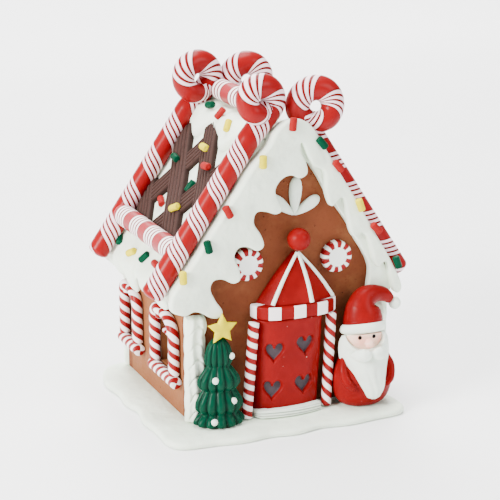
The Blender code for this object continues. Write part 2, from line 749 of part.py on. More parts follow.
def rib_shape(foot, grow=0.0):
    """Square bar along one hip of the door roof."""
    half = 0.5 * RIB_WIDTH + grow
    low, high = cone_point(foot, 0.0, 0.4), cone_point(foot, RIB_CUT, 0.4)
    along = (high - low).normalized()
    if grow:
        low, high = low - along * 2.0, high + along * 2.0
    out = Vector((foot[0] - CONE_APEX[0], foot[1] + HALF_DEPTH, 0)).normalized()
    across = along.cross(out).normalized()
    lift = across.cross(along).normalized()
    rings = []
    for place, scale in ((low + along * 0.8, 1.0), (high, 0.85)):
        rings.append([place + (across * u + lift * v) * half * scale
                      for u, v in ((-1, -1), (1, -1), (1, 0.5), (0.6, 1), (-0.6, 1), (-1, 0.5))])
    return loft(rings)


def make_door_roof():
    cone = [[cone_point(foot, t) for foot in CONE_FOOT] for t in (0.0, CONE_CUT)]
    made = make_object("door_cone", loft(cone), "red_clay", sharp=20)
    ribs = None
    for k in (1, 2, 3):
        shape = rib_shape(CONE_FOOT[k])
        combine(made, make_cutter(f"rib_{k}_grown", rib_shape(CONE_FOOT[k], GAP)), "DIFFERENCE")
        if ribs is None:
            ribs = make_object("door_cone_ribs", shape, "snow_icing", sharp=30)
        else:
            combine(ribs, make_cutter(f"rib_{k}", shape), "UNION")
    make_object("door_ball", ball(BALL_CENTRE, BALL_RADIUS, 7, 12), "red_clay")


def make_columns():
    for name, (low, high) in COLUMNS.items():
        path = [(*low, FOOT), (*high, DOOR_TOP)]
        make_object(name, sweep(path, [COLUMN_RADIUS] * 2, 12), "candy_stripe")


def make_step():
    """Low bowed tread in front of the door."""
    inner = bow(DOOR_HALF, DOOR_DEPTH, 14, 0.5)[3:12]
    count = len(inner)
    rings = []
    for z, grow in ((FOOT, 0.0), (FOOT + 2.2, 0.3), (FOOT + 4.2, -0.9), (FOOT + STEP_HEIGHT, -3.2)):
        outer = []
        for k, (x, y) in enumerate(inner):
            t = k / (count - 1)
            reach = 4.4 + 4.6 * math.sin(math.pi * t)
            outer.append((x * 1.01, y - reach - grow))
        rings.append([(x + lean_x(FOOT) - 0.6, y, z) for x, y in inner + outer[::-1]])
    make_object("door_step", loft(rings), "snow_icing")


# ---------------------------------------------------------------- tree

def make_tree():
    segments = 2 * TREE_FLUTES
    rings = []
    for z, radius in TREE_PROFILE:
        ring = []
        for k in range(segments):
            a = 2 * math.pi * (k + 0.5) / segments
            r = radius * (1.0 if k % 2 else 0.91)
            y = TREE_Y + TREE_DEPTH * r * math.sin(a)
            ring.append((TREE_X + r * math.cos(a), min(y, TREE_BACK), z))
        rings.append(ring)
    make_object("tree", loft(rings), "tree_green")


def make_star():
    loop = []
    for k in range(10):
        a = math.pi / 2 + math.pi * k / 5
        r = STAR_INNER if k % 2 else STAR_OUTER
        loop.append((STAR_CENTRE[0] + r * math.cos(a), STAR_CENTRE[2] + r * math.sin(a)))
    middle = -STAR_CENTRE[1]
    levels = ((middle - 0.5 * STAR_THICK, 0.6), (middle - 0.2 * STAR_THICK, 0.0),
              (middle + 0.2 * STAR_THICK, 0.0), (middle + 0.5 * STAR_THICK, 0.9))
    make_object("tree_star", gable_plate(np.array(loop), levels, -1.0), "yellow_clay")


# ---------------------------------------------------------------- Santa

def taller(levels):
    """The levels with the lowest and highest moved apart by a gap."""
    (low, *first), *between, (high, *last) = levels
    return [(low - GAP, *first), *between, (high + GAP, *last)]


def make_santa():
    centre = (SANTA_X, SANTA_Y)
    make_object("santa_body", oval_rings(SANTA_BODY, centre, 16, SANTA_BACK), "red_clay")
    head = dict(tilt=HAT_TILT, tilt_from=38.0)
    make_object("santa_face", oval_rings(HEAD_LEVELS, centre, 16, SANTA_BACK, **head), "skin_clay")
    beard = make_object("santa_beard", beard_shape(), "snow_icing")
    grown_body = oval_rings(taller(SANTA_BODY), centre, 16, grow=GAP)
    grown_head = oval_rings(taller(HEAD_LEVELS), centre, 16, grow=GAP, **head)
    combine(beard, make_cutter("body_grown", grown_body), "DIFFERENCE")
    combine(beard, make_cutter("head_grown", grown_head), "DIFFERENCE")
    window = [(SANTA_X + 9.3 * math.cos(a), 46.4 + 5.6 * math.sin(a) * (1.6 if a < math.pi else 1))
              for a in (2 * math.pi * k / 10 for k in range(10))]
    rings = [[(x, y, z) for x, z in window] for y in (-85.0, SANTA_Y)]
    combine(beard, make_cutter("face_window", loft(rings)), "DIFFERENCE")

    make_object("santa_hat_band", oval_rings(BAND_LEVELS, centre, 16, SANTA_BACK, HAT_TILT),
                "snow_icing")
    make_hat()
    nose_y = SANTA_Y - 11.0 - 3.3 - GAP
    make_object("santa_nose", ball((SANTA_X - 0.4, nose_y, 47.0), 3.4, 6, 10), "skin_clay")
    make_moustache()


def beard_shape(grow=0.0):
    """Bib from a rounded tip up to the hat: (z, half width, front depth), flat behind."""
    rings = []
    segments = 12
    for z, half, depth in BEARD_LEVELS:
        ring = []
        for k in range(segments):
            a = math.pi * k / (segments - 1)
            ring.append((SANTA_X + (half + grow) * math.cos(a),
                         SANTA_Y + 1.0 - (depth + grow) * math.sin(a) ** 0.8,
                         z + HAT_TILT * (0.0 if z < 38 else min((z - 38) / 9, 1.0))
                         * depth * math.sin(a)))
        rings.append(ring)
    return loft(rings)


def make_moustache():
    """Two drooping lobes meeting under the nose, in front of the beard."""
    lobes = []
    for sign in (-1.0, 1.0):
        path, radii = [], []
        for t in (0.0, 0.2, 0.45, 0.7, 0.9, 1.0):
            u = sign * (0.3 + 10.2 * t) if sign < 0 else -0.6 + 10.4 * t
            path.append((SANTA_X - 0.4 + u, SANTA_Y - 17.3 + 5.2 * t * t, 39.9 - 3.2 * t + 1.6 * t * t))
            radii.append((1.5, 2.7, 3.3, 3.0, 1.9, 0.7)[len(radii)])
        lobes.append(sweep(path, radii, 6, 0.9))
    made = make_object("santa_moustache", lobes[0], "snow_icing")
    combine(made, make_cutter("lobe", lobes[1]), "UNION")
    combine(made, make_cutter("beard_grown", beard_shape(GAP)), "DIFFERENCE")
    centre = (SANTA_X, SANTA_Y)
    head = oval_rings(taller(HEAD_LEVELS), centre, 16, grow=GAP, tilt=HAT_TILT, tilt_from=38.0)
    combine(made, make_cutter("head_grown_again", head), "DIFFERENCE")
    nose = ball((SANTA_X - 0.4, SANTA_Y - 14.6, 47.0), 3.4 + GAP, 6, 10)
    combine(made, make_cutter("nose_grown", nose), "DIFFERENCE")


def make_hat():
    """Cap that rises from the band and folds over to the right."""
    spine = np.array([(x, z) for x, z, r in HAT_SPINE])
    along = np.gradient(spine, axis=0)
    along[0] = (0.0, 1.0)
    rings = []
    for k, (x, z, radius) in enumerate(HAT_SPINE):
        t = along[k] / np.linalg.norm(along[k])
        across = np.array([t[1], -t[0]])
        lean = HAT_TILT * max(0.0, 1 - k / 3)
        middle = SANTA_Y + 0.35 * min(k, 5)
        ring = []
        for j in range(12):
            a = 2 * math.pi * j / 12
            u, v = radius * math.cos(a), 0.9 * radius * math.sin(a)
            ring.append((x + across[0] * u, middle + v, z + across[1] * u - lean * v))
        rings.append(ring)
    make_object("santa_hat", loft(rings), "red_clay")
    end = HAT_SPINE[-1]
    centre = (end[0] + 3.2, SANTA_Y + 1.75, end[1] - 2.9)
    make_object("santa_pompom", ball(centre, POMPOM_RADIUS, 6, 10), "snow_icing")


# ---------------------------------------------------------------- windows

def cane_paths(near, far, drop):
    """The back cane with a tight hook, and the front cane with a wide one, as (Y, Z) paths."""
    span = near - far
    tight = 0.17 * span + 0.5
    wide = span - 2 * tight - CANE_RADIUS - 0.5
    spring_tight = 58.5 - 0.05 * (30 - span)
    spring_wide = 52.5 + 0.10 * (31 - span)
    back = [(near, CANE_FOOT), (near, spring_tight)]
    for k in range(1, 7):
        a = math.radians(26 * k)
        back.append((near - tight * (1 - math.cos(a)), spring_tight + tight * math.sin(a)))
    front = [(far, CANE_FOOT), (far, spring_wide)]
    rise = spring_tight + tight - spring_wide
    for k in range(1, 6):
        a = math.radians(18 * k)
        front.append((far + wide * (1 - math.cos(a)), spring_wide + rise * math.sin(a)))
    return [[(y, z + drop) for y, z in path] for path in (back, front)]


def make_windows():
    for side, sign in SIGN.items():
        for row, (near, far) in WINDOWS.items():
            name = f"window_{side}_{row}"
            back, front = cane_paths(near, far, EAVE_SHIFT[side])
            for part, path in (("cane", back), ("arch", front)):
                points = [(sign * CANE_X, y, z) for y, z in path]
                radii = [CANE_RADIUS] * (len(path) - 1) + [0.8 * CANE_RADIUS]
                shape = sweep_side(points, radii, 6)
                make_object(f"{name}_{part}", shape, "candy_stripe")
            reach = (near + 3.6, far - 4.8)
            x = HALF_WIDTH + SILL_RADIUS + GAP
            sill = [(sign * x, y, SILL_Z + EAVE_SHIFT[side]) for y in reach]
            make_object(name + "_sill", sweep(sill, [SILL_RADIUS] * 2, 8), "candy_stripe")


def sweep_side(path, radii, sides):
    """Tube along a path that lies in a plane of constant X."""
    path = np.array(path, float)
    tangent = np.gradient(path, axis=0)
    tangent /= np.linalg.norm(tangent, axis=1)[:, None]
    rings = []
    for place, t, radius in zip(path, tangent, radii):
        side = np.array([1.0, 0.0, 0.0])
        up = np.cross(t, side)
        rings.append([place + radius * (math.cos(a) * side + math.sin(a) * up)
                      for a in (2 * math.pi * (k + 0.5) / sides for k in range(sides))])
    return loft(rings)


def make_crosses():
    """Upright bar in the middle of each hole, with an arm across to both sides of it."""
    for side, sign in SIGN.items():
        drop = EAVE_SHIFT[side]
        for row, (near, far) in WINDOWS.items():
            low, high = hole_span(near, far)
            middle = 0.5 * (low + high)
            x = sign * (HALF_WIDTH - CROSS_INSET)
            foot = HOLE_FOOT + GAP + drop
            top = HOLE_SPRING + HOLE_RISE * 0.5 * (high - low) - 2 * GAP + drop
            bar = [(x, middle, foot), (x, middle, top - 2.0), (x, middle, top)]
            shape = sweep_side(bar, [CROSS_RADIUS, CROSS_RADIUS, 0.6], 6)
            made = make_object(f"window_{side}_{row}_cross", shape, "candy_stripe")
            arm = [(x, y, CROSS_Z + drop) for y in (low + GAP, high - GAP)]
            combine(made, make_cutter(f"arm_{side}_{row}", sweep(arm, [1.8, 1.8], 6)), "UNION")


def main():
    clear_scene()
    make_base()
    make_gables()
    make_side_walls()
    make_corner_icing()
    rail_cutters = make_rails()
    for side in ("left", "right"):
        make_roof(side)
        make_eave_roll(side)
        make_lattice(side)
    make_ridge_cap(rail_cutters)
    make_gable_snow("front", -1.0, rail_cutters)
    make_gable_snow("back", 1.0, rail_cutters)
    make_mints()
    make_petals()
    make_door()
    make_door_band()
    make_door_roof()
    make_columns()
    make_step()
    make_tree()
    make_star()
    make_santa()
    make_windows()
    make_crosses()


main()
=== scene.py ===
"""Finishes and modelled surfaces of the clay gingerbread house, over its packed frame.

Shapes are worked out in millimetres in the frame's axes: X along the front wall, the front
faces -Y, Z is up, and the ground is Z = 0. Skin turns them into metres.
"""
import json
import math

import bpy
import numpy as np
from mathutils.geometry import delaunay_2d_cdt
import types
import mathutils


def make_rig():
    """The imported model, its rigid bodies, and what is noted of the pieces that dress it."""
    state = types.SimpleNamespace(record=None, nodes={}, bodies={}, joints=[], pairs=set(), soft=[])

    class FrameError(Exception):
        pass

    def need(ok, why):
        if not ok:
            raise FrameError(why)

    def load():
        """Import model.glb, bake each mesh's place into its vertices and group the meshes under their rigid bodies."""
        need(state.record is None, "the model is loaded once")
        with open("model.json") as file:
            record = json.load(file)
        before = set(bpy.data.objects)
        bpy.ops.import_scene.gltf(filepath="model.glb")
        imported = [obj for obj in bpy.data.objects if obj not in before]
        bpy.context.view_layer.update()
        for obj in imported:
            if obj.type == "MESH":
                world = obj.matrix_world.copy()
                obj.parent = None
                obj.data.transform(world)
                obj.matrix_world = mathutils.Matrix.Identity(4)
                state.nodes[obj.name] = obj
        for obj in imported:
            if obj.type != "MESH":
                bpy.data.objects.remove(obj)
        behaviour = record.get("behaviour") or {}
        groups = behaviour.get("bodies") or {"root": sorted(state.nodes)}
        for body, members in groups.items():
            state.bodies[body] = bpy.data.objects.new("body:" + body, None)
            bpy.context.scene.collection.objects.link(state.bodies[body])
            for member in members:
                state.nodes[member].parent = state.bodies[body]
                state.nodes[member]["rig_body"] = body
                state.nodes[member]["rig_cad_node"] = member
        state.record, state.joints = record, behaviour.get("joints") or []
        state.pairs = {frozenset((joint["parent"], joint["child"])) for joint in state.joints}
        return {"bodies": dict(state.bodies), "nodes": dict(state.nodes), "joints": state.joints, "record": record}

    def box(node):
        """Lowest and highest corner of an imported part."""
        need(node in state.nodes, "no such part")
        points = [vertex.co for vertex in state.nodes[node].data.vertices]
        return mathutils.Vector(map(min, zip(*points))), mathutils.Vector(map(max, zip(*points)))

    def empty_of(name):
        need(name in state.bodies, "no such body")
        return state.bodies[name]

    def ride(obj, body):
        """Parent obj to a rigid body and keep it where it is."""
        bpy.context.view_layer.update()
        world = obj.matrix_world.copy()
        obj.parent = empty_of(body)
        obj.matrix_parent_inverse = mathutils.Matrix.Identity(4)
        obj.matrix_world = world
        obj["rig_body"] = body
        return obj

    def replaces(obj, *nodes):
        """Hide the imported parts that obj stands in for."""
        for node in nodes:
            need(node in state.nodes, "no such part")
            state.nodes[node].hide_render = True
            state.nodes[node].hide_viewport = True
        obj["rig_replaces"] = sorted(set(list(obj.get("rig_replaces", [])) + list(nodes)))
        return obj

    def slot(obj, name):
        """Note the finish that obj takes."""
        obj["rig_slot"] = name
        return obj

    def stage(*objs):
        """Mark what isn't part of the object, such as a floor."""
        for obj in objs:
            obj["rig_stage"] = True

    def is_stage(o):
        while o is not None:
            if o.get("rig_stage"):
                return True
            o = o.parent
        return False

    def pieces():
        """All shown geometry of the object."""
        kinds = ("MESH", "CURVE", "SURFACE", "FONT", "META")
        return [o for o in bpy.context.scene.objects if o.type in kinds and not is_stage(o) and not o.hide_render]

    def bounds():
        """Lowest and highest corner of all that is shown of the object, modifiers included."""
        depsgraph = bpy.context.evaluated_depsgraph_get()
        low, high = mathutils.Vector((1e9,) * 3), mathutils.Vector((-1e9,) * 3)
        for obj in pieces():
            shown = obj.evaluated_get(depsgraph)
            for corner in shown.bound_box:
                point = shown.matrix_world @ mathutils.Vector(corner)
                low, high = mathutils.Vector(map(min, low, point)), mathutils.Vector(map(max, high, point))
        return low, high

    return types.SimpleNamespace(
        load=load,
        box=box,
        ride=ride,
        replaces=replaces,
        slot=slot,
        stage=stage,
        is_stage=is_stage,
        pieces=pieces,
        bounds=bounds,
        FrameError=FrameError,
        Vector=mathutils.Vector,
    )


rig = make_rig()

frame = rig.load()
CAD_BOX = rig.bounds()

bl_info = {
    "name": "Gingerbread house",
    "version": (1, 0, 0),
    "blender": (4, 5, 0),
    "location": "3D View > Sidebar > Gingerbread",
    "description": "Icing, candy, clay and gingerbread surfaces of the small house",
    "category": "Object",
}

MM = 0.001
TAU = 2 * math.pi
SIDES = {"left": -1.0, "right": 1.0}


def corner(node, which, axis):
    """One coordinate of a node's box in millimetres: which is 0 for low and 1 for high."""
    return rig.box(node)[which]["XYZ".index(axis)] / MM


# Walls and base
HALF_WIDTH = corner("left_wall", 0, "X") * -1
HALF_DEPTH = corner("front_wall", 0, "Y") * -1
BASE_TOP = corner("snow_base", 1, "Z")
FOOT = corner("front_wall", 0, "Z")
GAP = FOOT - BASE_TOP
FACE = HALF_DEPTH + GAP

# Roof: the axes of the candy rails would meet over the ridge
RIDGE_X, RIDGE_Z = -3.2, 197.3
SLOPE = {"left": math.radians(54.9), "right": math.radians(56.7)}
ROOF_DROP, ROOF_THICK, ROOF_START = 6.9, 5.0, 31.0
RIDGE_TOP, CAP_THICK = 172.3, 6.0
EAVE_S = 111.5


# ---------------------------------------------------------------- numbers to shapes

def smooth(t):
    """Eases from 0 to 1 while t goes from 0 to 1: 3 t squared less 2 t cubed."""
    t = np.clip(t, 0.0, 1.0)
    return t * t * (3 - 2 * t)


def unit(vectors):
    """The vectors divided by their lengths."""
    return vectors / np.maximum(np.linalg.norm(vectors, axis=-1, keepdims=True), 1e-9)


def wobble(points, length, seed=1):
    """Hand-made unevenness from -1 to 1: mean of six crossing sine waves about length apart."""
    source = np.random.default_rng(seed)
    ways = unit(source.normal(size=(6, 3))) * source.uniform(0.7, 1.4, (6, 1))
    return np.sin(points @ ways.T * TAU / length + source.uniform(0, TAU, 6)).mean(-1)


def curve(points, count, closed=False):
    """Evenly spaced points on a curve through the given ones: cubic pieces whose slope at each
    point blends the chords before and after it."""
    points = np.asarray(points, float)
    if closed:
        points = np.concatenate([points[-2:], points, points[:3]])
    step = np.sqrt(np.linalg.norm(np.diff(points, axis=0), axis=1)) + 1e-6
    knots = np.concatenate([[0.0], np.cumsum(step)])
    chord = np.diff(points, axis=0) / step[:, None]
    slope = np.empty_like(points)
    slope[0], slope[-1] = chord[0], chord[-1]
    before, after = step[:-1, None], step[1:, None]
    slope[1:-1] = (chord[:-1] * after + chord[1:] * before) / (before + after)
    first, last = (2, len(points) - 3) if closed else (0, len(points) - 1)
    where = np.linspace(knots[first], knots[last], count * 12)
    k = np.clip(np.searchsorted(knots, where, side="right") - 1, first, last - 1)
    h = step[k][:, None]
    u = (where - knots[k])[:, None] / h
    fine = ((2 * u**3 - 3 * u**2 + 1) * points[k] + (u**3 - 2 * u**2 + u) * h * slope[k]
            + (3 * u**2 - 2 * u**3) * points[k + 1] + (u**3 - u**2) * h * slope[k + 1])
    return even(fine, count, closed)


def lengths(path):
    """Distance along a path at each of its points."""
    return np.concatenate([[0.0], np.cumsum(np.linalg.norm(np.diff(path, axis=0), axis=1))])


def even(path, count, closed=False):
    """The same path with count points at equal distances along it."""
    run = lengths(path)
    where = np.linspace(0, run[-1], count, endpoint=not closed)
    return np.stack([np.interp(where, run, column) for column in path.T], 1)


def fillet(sections, reach, steps=5):
    """Closed sections (stations x corners x coordinates) with each corner turned into a parabola
    that leaves its two edges at the given reach from the corner."""
    before = np.roll(sections, 1, 1) - sections
    after = np.roll(sections, -1, 1) - sections
    size_b = np.linalg.norm(before, axis=-1, keepdims=True) + 1e-9
    size_a = np.linalg.norm(after, axis=-1, keepdims=True) + 1e-9
    reach = np.minimum(np.asarray(reach, float).reshape(1, -1, 1), 0.48 * np.minimum(size_b, size_a))
    start = (sections + before / size_b * reach)[:, :, None]
    end = (sections + after / size_a * reach)[:, :, None]
    t = np.linspace(0, 1, steps)[:, None]
    arcs = (1 - t) ** 2 * start + 2 * t * (1 - t) * sections[:, :, None] + t**2 * end
    return arcs.reshape(len(sections), -1, sections.shape[-1])


def inset(loop, amount, soften=0.2):
    """A closed 2-D loop moved inwards along its normals, then slightly averaged with its
    neighbours so that tight bends stay clean."""
    along = np.roll(loop, -1, 0) - np.roll(loop, 1, 0)
    normal = unit(np.stack([along[:, 1], -along[:, 0]], 1))
    x, y = loop.T
    turning = np.sign(np.sum(x * np.roll(y, -1) - y * np.roll(x, -1)))
    moved = loop - turning * normal * np.reshape(amount, (-1, 1))
    if soften:
        middle = 0.5 * (np.roll(moved, 1, 0) + np.roll(moved, -1, 0))
        moved = moved * (1 - soften) + middle * soften
    return moved


def elbow_room(loop, wanted):
    """Share of a wanted inset that each point of a closed 2-D loop has room for: seven tenths of
    the radius of the largest circle inside the loop that touches it there, which is the least,
    over the other points, of distance squared over twice the distance along the normal."""
    along = unit(np.roll(loop, -1, 0) - np.roll(loop, 1, 0))
    x, y = loop.T
    turning = np.sign(np.sum(x * np.roll(y, -1) - y * np.roll(x, -1)))
    normal = turning * np.stack([-along[:, 1], along[:, 0]], 1)
    apart = loop[None] - loop[:, None]
    inward = (apart * normal[:, None]).sum(-1)
    circle = np.where(inward > 1e-6, (apart**2).sum(-1) / (2 * np.maximum(inward, 1e-6)), 1e6)
    share = np.clip(0.7 * circle.min(1) / wanted, 0.05, 1.0)
    least = np.stack([np.roll(share, k) for k in range(-2, 3)]).min(0)
    return np.stack([np.roll(least, k) for k in range(-3, 4)]).mean(0)


def edge_levels(near, far, radius, steps=6):
    """(depth, inset) pairs from a plate's back to its face, round a quarter circle at the edge,
    with one last step on the flat face."""
    a = np.linspace(0, math.pi / 2, steps)
    depth = far - radius + radius * np.sin(a)
    moved = radius * (1 - np.cos(a))
    levels = [(near, 0.25 * radius), (near + 0.3 * radius, 0.0)]
    return levels + list(zip(depth, moved)) + [(far, radius + 0.5)]


def plate(loop, near, far, radius, way=-1.0):
    """Rows of a plate with a rounded front edge: an (X, Z) loop carried from depth near to far."""
    rows, current, done = [], loop, 0.0
    room = elbow_room(loop, radius + 0.5)
    for depth, moved in edge_levels(near, far, radius):
        if moved != done:
            current, done = inset(current, (moved - done) * room), moved
        rows.append(np.stack([current[:, 0], np.full(len(loop), way * depth), current[:, 1]], 1))
    return np.array(rows)


def slope_point(side, along, off, y=0.0):
    """Points at a distance down the slope from the rails' meeting line, off it outwards, at y."""
    along, off, y = np.broadcast_arrays(along, off, y)
    a, sign = SLOPE[side], SIDES[side]
    x = RIDGE_X + sign * (along * math.cos(a) + off * math.sin(a))
    return np.stack([x, y, RIDGE_Z - along * math.sin(a) + off * math.cos(a)], -1)


def tube(path, radius, sides, across, domes=(0.6, 0.6), flat=1.0):
    """Rings round a path: each point plus radius times (cosine of a turn times the across
    direction, plus sine times the direction square to it). The ends close in rounded domes, whose
    depth is given as a share of the radius. Returns the rings and the length along the path."""
    path = np.asarray(path, float)
    radius = np.broadcast_to(np.asarray(radius, float), len(path))
    tangent = unit(np.gradient(path, axis=0))
    a = np.linspace(0, math.pi / 2, 6)[1:]
    start = path[0] - tangent[0] * (domes[0] * radius[0] * np.sin(a[::-1]))[:, None]
    end = path[-1] + tangent[-1] * (domes[1] * radius[-1] * np.sin(a))[:, None]
    path = np.concatenate([start, path, end])
    tangent = np.concatenate([np.repeat(tangent[:1], 5, 0), tangent, np.repeat(tangent[-1:], 5, 0)])
    radius = np.concatenate([radius[0] * np.cos(a[::-1]), radius, radius[-1] * np.cos(a)])
    side = np.asarray(across, float) - tangent * (tangent @ np.asarray(across, float))[:, None]
    side = unit(side)
    up = np.cross(tangent, side)
    turn = TAU * np.arange(sides) / sides
    ring = (flat * np.cos(turn)[None, :, None] * side[:, None]
            + np.sin(turn)[None, :, None] * up[:, None])
    return path[:, None] + np.maximum(radius, 0.02)[:, None, None] * ring, lengths(path)


def globe(centre, radius, rings=18, segments=28, stretch=(1, 1, 1)):
    """Rows of a ball: latitude rings scaled by stretch, with the poles up and down."""
    lat = np.linspace(-0.5, 0.5, rings + 2)[1:-1, None] * math.pi
    turn = TAU * np.arange(segments)[None] / segments
    ball = np.stack([np.cos(lat) * np.cos(turn), np.cos(lat) * np.sin(turn),
                     np.sin(lat) + 0 * turn], -1)
    return np.asarray(centre, float) + radius * ball * np.asarray(stretch, float)


def oval_rows(levels, centre, segments, rows, back=None, tilt=0.0, tilt_from=None):
    """Ovals stacked on a smooth curve through (height, half width, half depth), cut flat at the
    back and raised at the front by tilt."""
    levels = curve(levels, rows)
    turn = TAU * np.arange(segments) / segments
    x = centre[0] + levels[:, 1:2] * np.cos(turn)
    y = centre[1] + levels[:, 2:3] * np.sin(turn)
    if back is not None:
        y = back - np.log1p(np.exp(2.0 * (back - y))) / 2.0
    z = levels[:, :1] + 0 * x
    share = 1.0 if tilt_from is None else np.clip((z - tilt_from) / 9.0, 0, 1)
    return np.stack([x, y, z + tilt * share * (centre[1] - y)], -1)


def tiles(loop, step):
    """Points in a staggered grid, step apart, that lie at least half a step inside a 2-D loop."""
    low, high = loop.min(0), loop.max(0)
    across = np.arange(low[0], high[0], step)
    up = np.arange(low[1], high[1], step * 0.87)
    x, y = np.meshgrid(across, up)
    x[1::2] += step / 2
    points = np.stack([x.ravel(), y.ravel()], 1)
    return points[loop_distance(points, loop) > 0.55 * step]


def loop_distance(points, loop):
    """Signed distance of 2-D points from a closed loop, positive inside."""
    a, b = loop, np.roll(loop, -1, 0)
    edge = b - a
    offset = points[:, None] - a[None]
    share = np.clip((offset * edge).sum(-1) / (edge * edge).sum(-1), 0, 1)
    gap = np.linalg.norm(offset - share[..., None] * edge, axis=-1).min(1)
    above = (a[:, 1] > points[:, 1:]) != (b[:, 1] > points[:, 1:])
    cross = a[:, 0] + (points[:, 1:] - a[:, 1]) * edge[:, 0] / np.where(edge[:, 1] == 0, 1e-9, edge[:, 1])
    inside = (above & (points[:, :1] < cross)).sum(1) % 2 == 1
    return np.where(inside, gap, -gap)


# ---------------------------------------------------------------- shapes to meshes

class Skin:
    """Closed grids of points gathered into one mesh, with a UV pair at each face corner and a
    number called mark at each point."""

    def __init__(self):
        self.points, self.faces, self.uvs, self.marks = [], [], [], []
        self.count = 0

    def add(self, rows, along=None, mark=0.0, cap="fan", shift=0.0):
        """Rows of equal length joined into quads, each row closed into a ring. The first and last
        rows close with a fan to their middle, with one flat face, or with a fill of small
        triangles on a staggered grid, which swells with the distance from the edge."""
        count, width = rows.shape[:2]
        points = rows.reshape(-1, 3)
        along = np.arange(count) / count if along is None else np.asarray(along, float)
        r, c = np.meshgrid(np.arange(count - 1), np.arange(width), indexing="ij")
        r, c = r.ravel(), c.ravel()
        n = (c + 1) % width
        quads = np.stack([r * width + c, r * width + n, (r + 1) * width + n, (r + 1) * width + c], 1)
        u = along[np.stack([r, r, r + 1, r + 1], 1)]
        v = np.stack([c, c + 1, c + 1, c], 1) / width + shift
        faces, uvs = quads.tolist(), list(np.stack([u, v], -1).reshape(-1, 2))
        marks = np.broadcast_to(np.asarray(mark, float), rows.shape[:2]).ravel()
        for row, order in ((0, -1), (count - 1, 1)):
            ring = row * width + np.arange(width)
            if cap == "fan":
                points = np.concatenate([points, rows[row].mean(0)[None]])
                marks = np.append(marks, marks[ring].mean())
                tip = np.full(width, len(points) - 1)
                fan = np.stack([ring, np.roll(ring, -1), tip], 1)[:, ::order]
                turn = np.stack([np.arange(width), np.arange(width) + 1, np.arange(width) + 0.5], 1)
                faces += fan.tolist()
                uvs += [(along[row], t / width + shift) for t in turn[:, ::order].ravel()]
            elif cap == "fill":
                flat = rows[row][:, [0, 2]]
                inner = tiles(flat, 2.2)
                edges = np.stack([np.arange(width), np.roll(np.arange(width), -1)], 1).tolist()
                spots = [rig.Vector(spot) for spot in np.concatenate([flat, inner])]
                found = delaunay_2d_cdt(spots, edges, [], 1, 1e-6)
                if len(found[0]) != len(spots) or any(len(k) != 1 for k in found[3]):
                    raise RuntimeError("an outline crosses itself")
                order_back = np.array([k[0] for k in found[3]])
                index = np.concatenate([ring, len(points) + np.arange(len(inner))])
                reach = loop_distance(inner, flat)
                way = np.sign(rows[-1][0, 1] - rows[0][0, 1])
                swell = 0.0 if row == 0 else way * (0.5 * (1 - np.exp(-reach / 3.0)) + 0.25 * wobble(
                    np.insert(inner, 1, 0.0, 1), 17.0, 2) * np.minimum(reach / 4.0, 1.0))
                lift = rows[row][0, 1] + swell
                points = np.concatenate([points, np.insert(inner, 1, 0.0, 1)])
                points[len(points) - len(inner):, 1] = lift
                marks = np.append(marks, np.zeros(len(inner)))
                made = index[order_back[np.array(found[2])]]
                a, b, c3 = (points[made[:, k]][:, [0, 2]] for k in range(3))
                area = ((b - a)[:, 0] * (c3 - a)[:, 1] - (b - a)[:, 1] * (c3 - a)[:, 0]).sum()
                ring_area = (flat[:, 0] * np.roll(flat[:, 1], -1)
                             - flat[:, 1] * np.roll(flat[:, 0], -1)).sum()
                same = np.sign(area) == np.sign(ring_area)
                made = made if same == (order > 0) else made[:, ::-1]
                faces += made.tolist()
                uvs += [(along[row], 0.0)] * made.size
            else:
                faces.append(ring[::order].tolist())
                uvs += [(along[row], t / width + shift) for t in np.arange(width)[::order]]
        first = rows[0].mean(0)
        volume = np.einsum("ij,ij->", points[quads[:, 0]] - first, np.cross(
            points[quads[:, 1]] - first, points[quads[:, 2]] - first) + np.cross(
            points[quads[:, 2]] - first, points[quads[:, 3]] - first))
        uvs = [tuple(float(x) for x in pair) for pair in uvs]
        if volume < 0:
            turned, start = [], 0
            for face in faces:
                turned += uvs[start:start + len(face)][::-1]
                start += len(face)
            uvs, faces = turned, [face[::-1] for face in faces]
        self.faces += [[k + self.count for k in face] for face in faces]
        self.points.append(points)
        self.uvs += uvs
        self.marks.append(marks)
        self.count += len(points)
        return self

    def piece(self, name, finish, replaces=(), slot=None, sharp=None):
        """The mesh in metres as an object that rides on the house."""
        mesh = bpy.data.meshes.new(name)
        mesh.from_pydata((np.concatenate(self.points) * MM).tolist(), [], self.faces)
        layer = mesh.uv_layers.new(name="Pattern")
        layer.data.foreach_set("uv", np.array(self.uvs, np.float32).ravel())
        marks = mesh.attributes.new("mark", "FLOAT", "POINT")
        marks.data.foreach_set("value", np.concatenate(self.marks).astype(np.float32))
        mesh.shade_smooth()
        if sharp is not None:
            mesh.set_sharp_from_angle(angle=math.radians(sharp))
        mesh.materials.append(finish)
        made = bpy.data.objects.new(name, mesh)
        bpy.context.scene.collection.objects.link(made)
        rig.ride(made, "root")
        if replaces:
            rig.replaces(made, *replaces)
        if slot:
            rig.slot(made, slot)
        return made


# ---------------------------------------------------------------- finishes

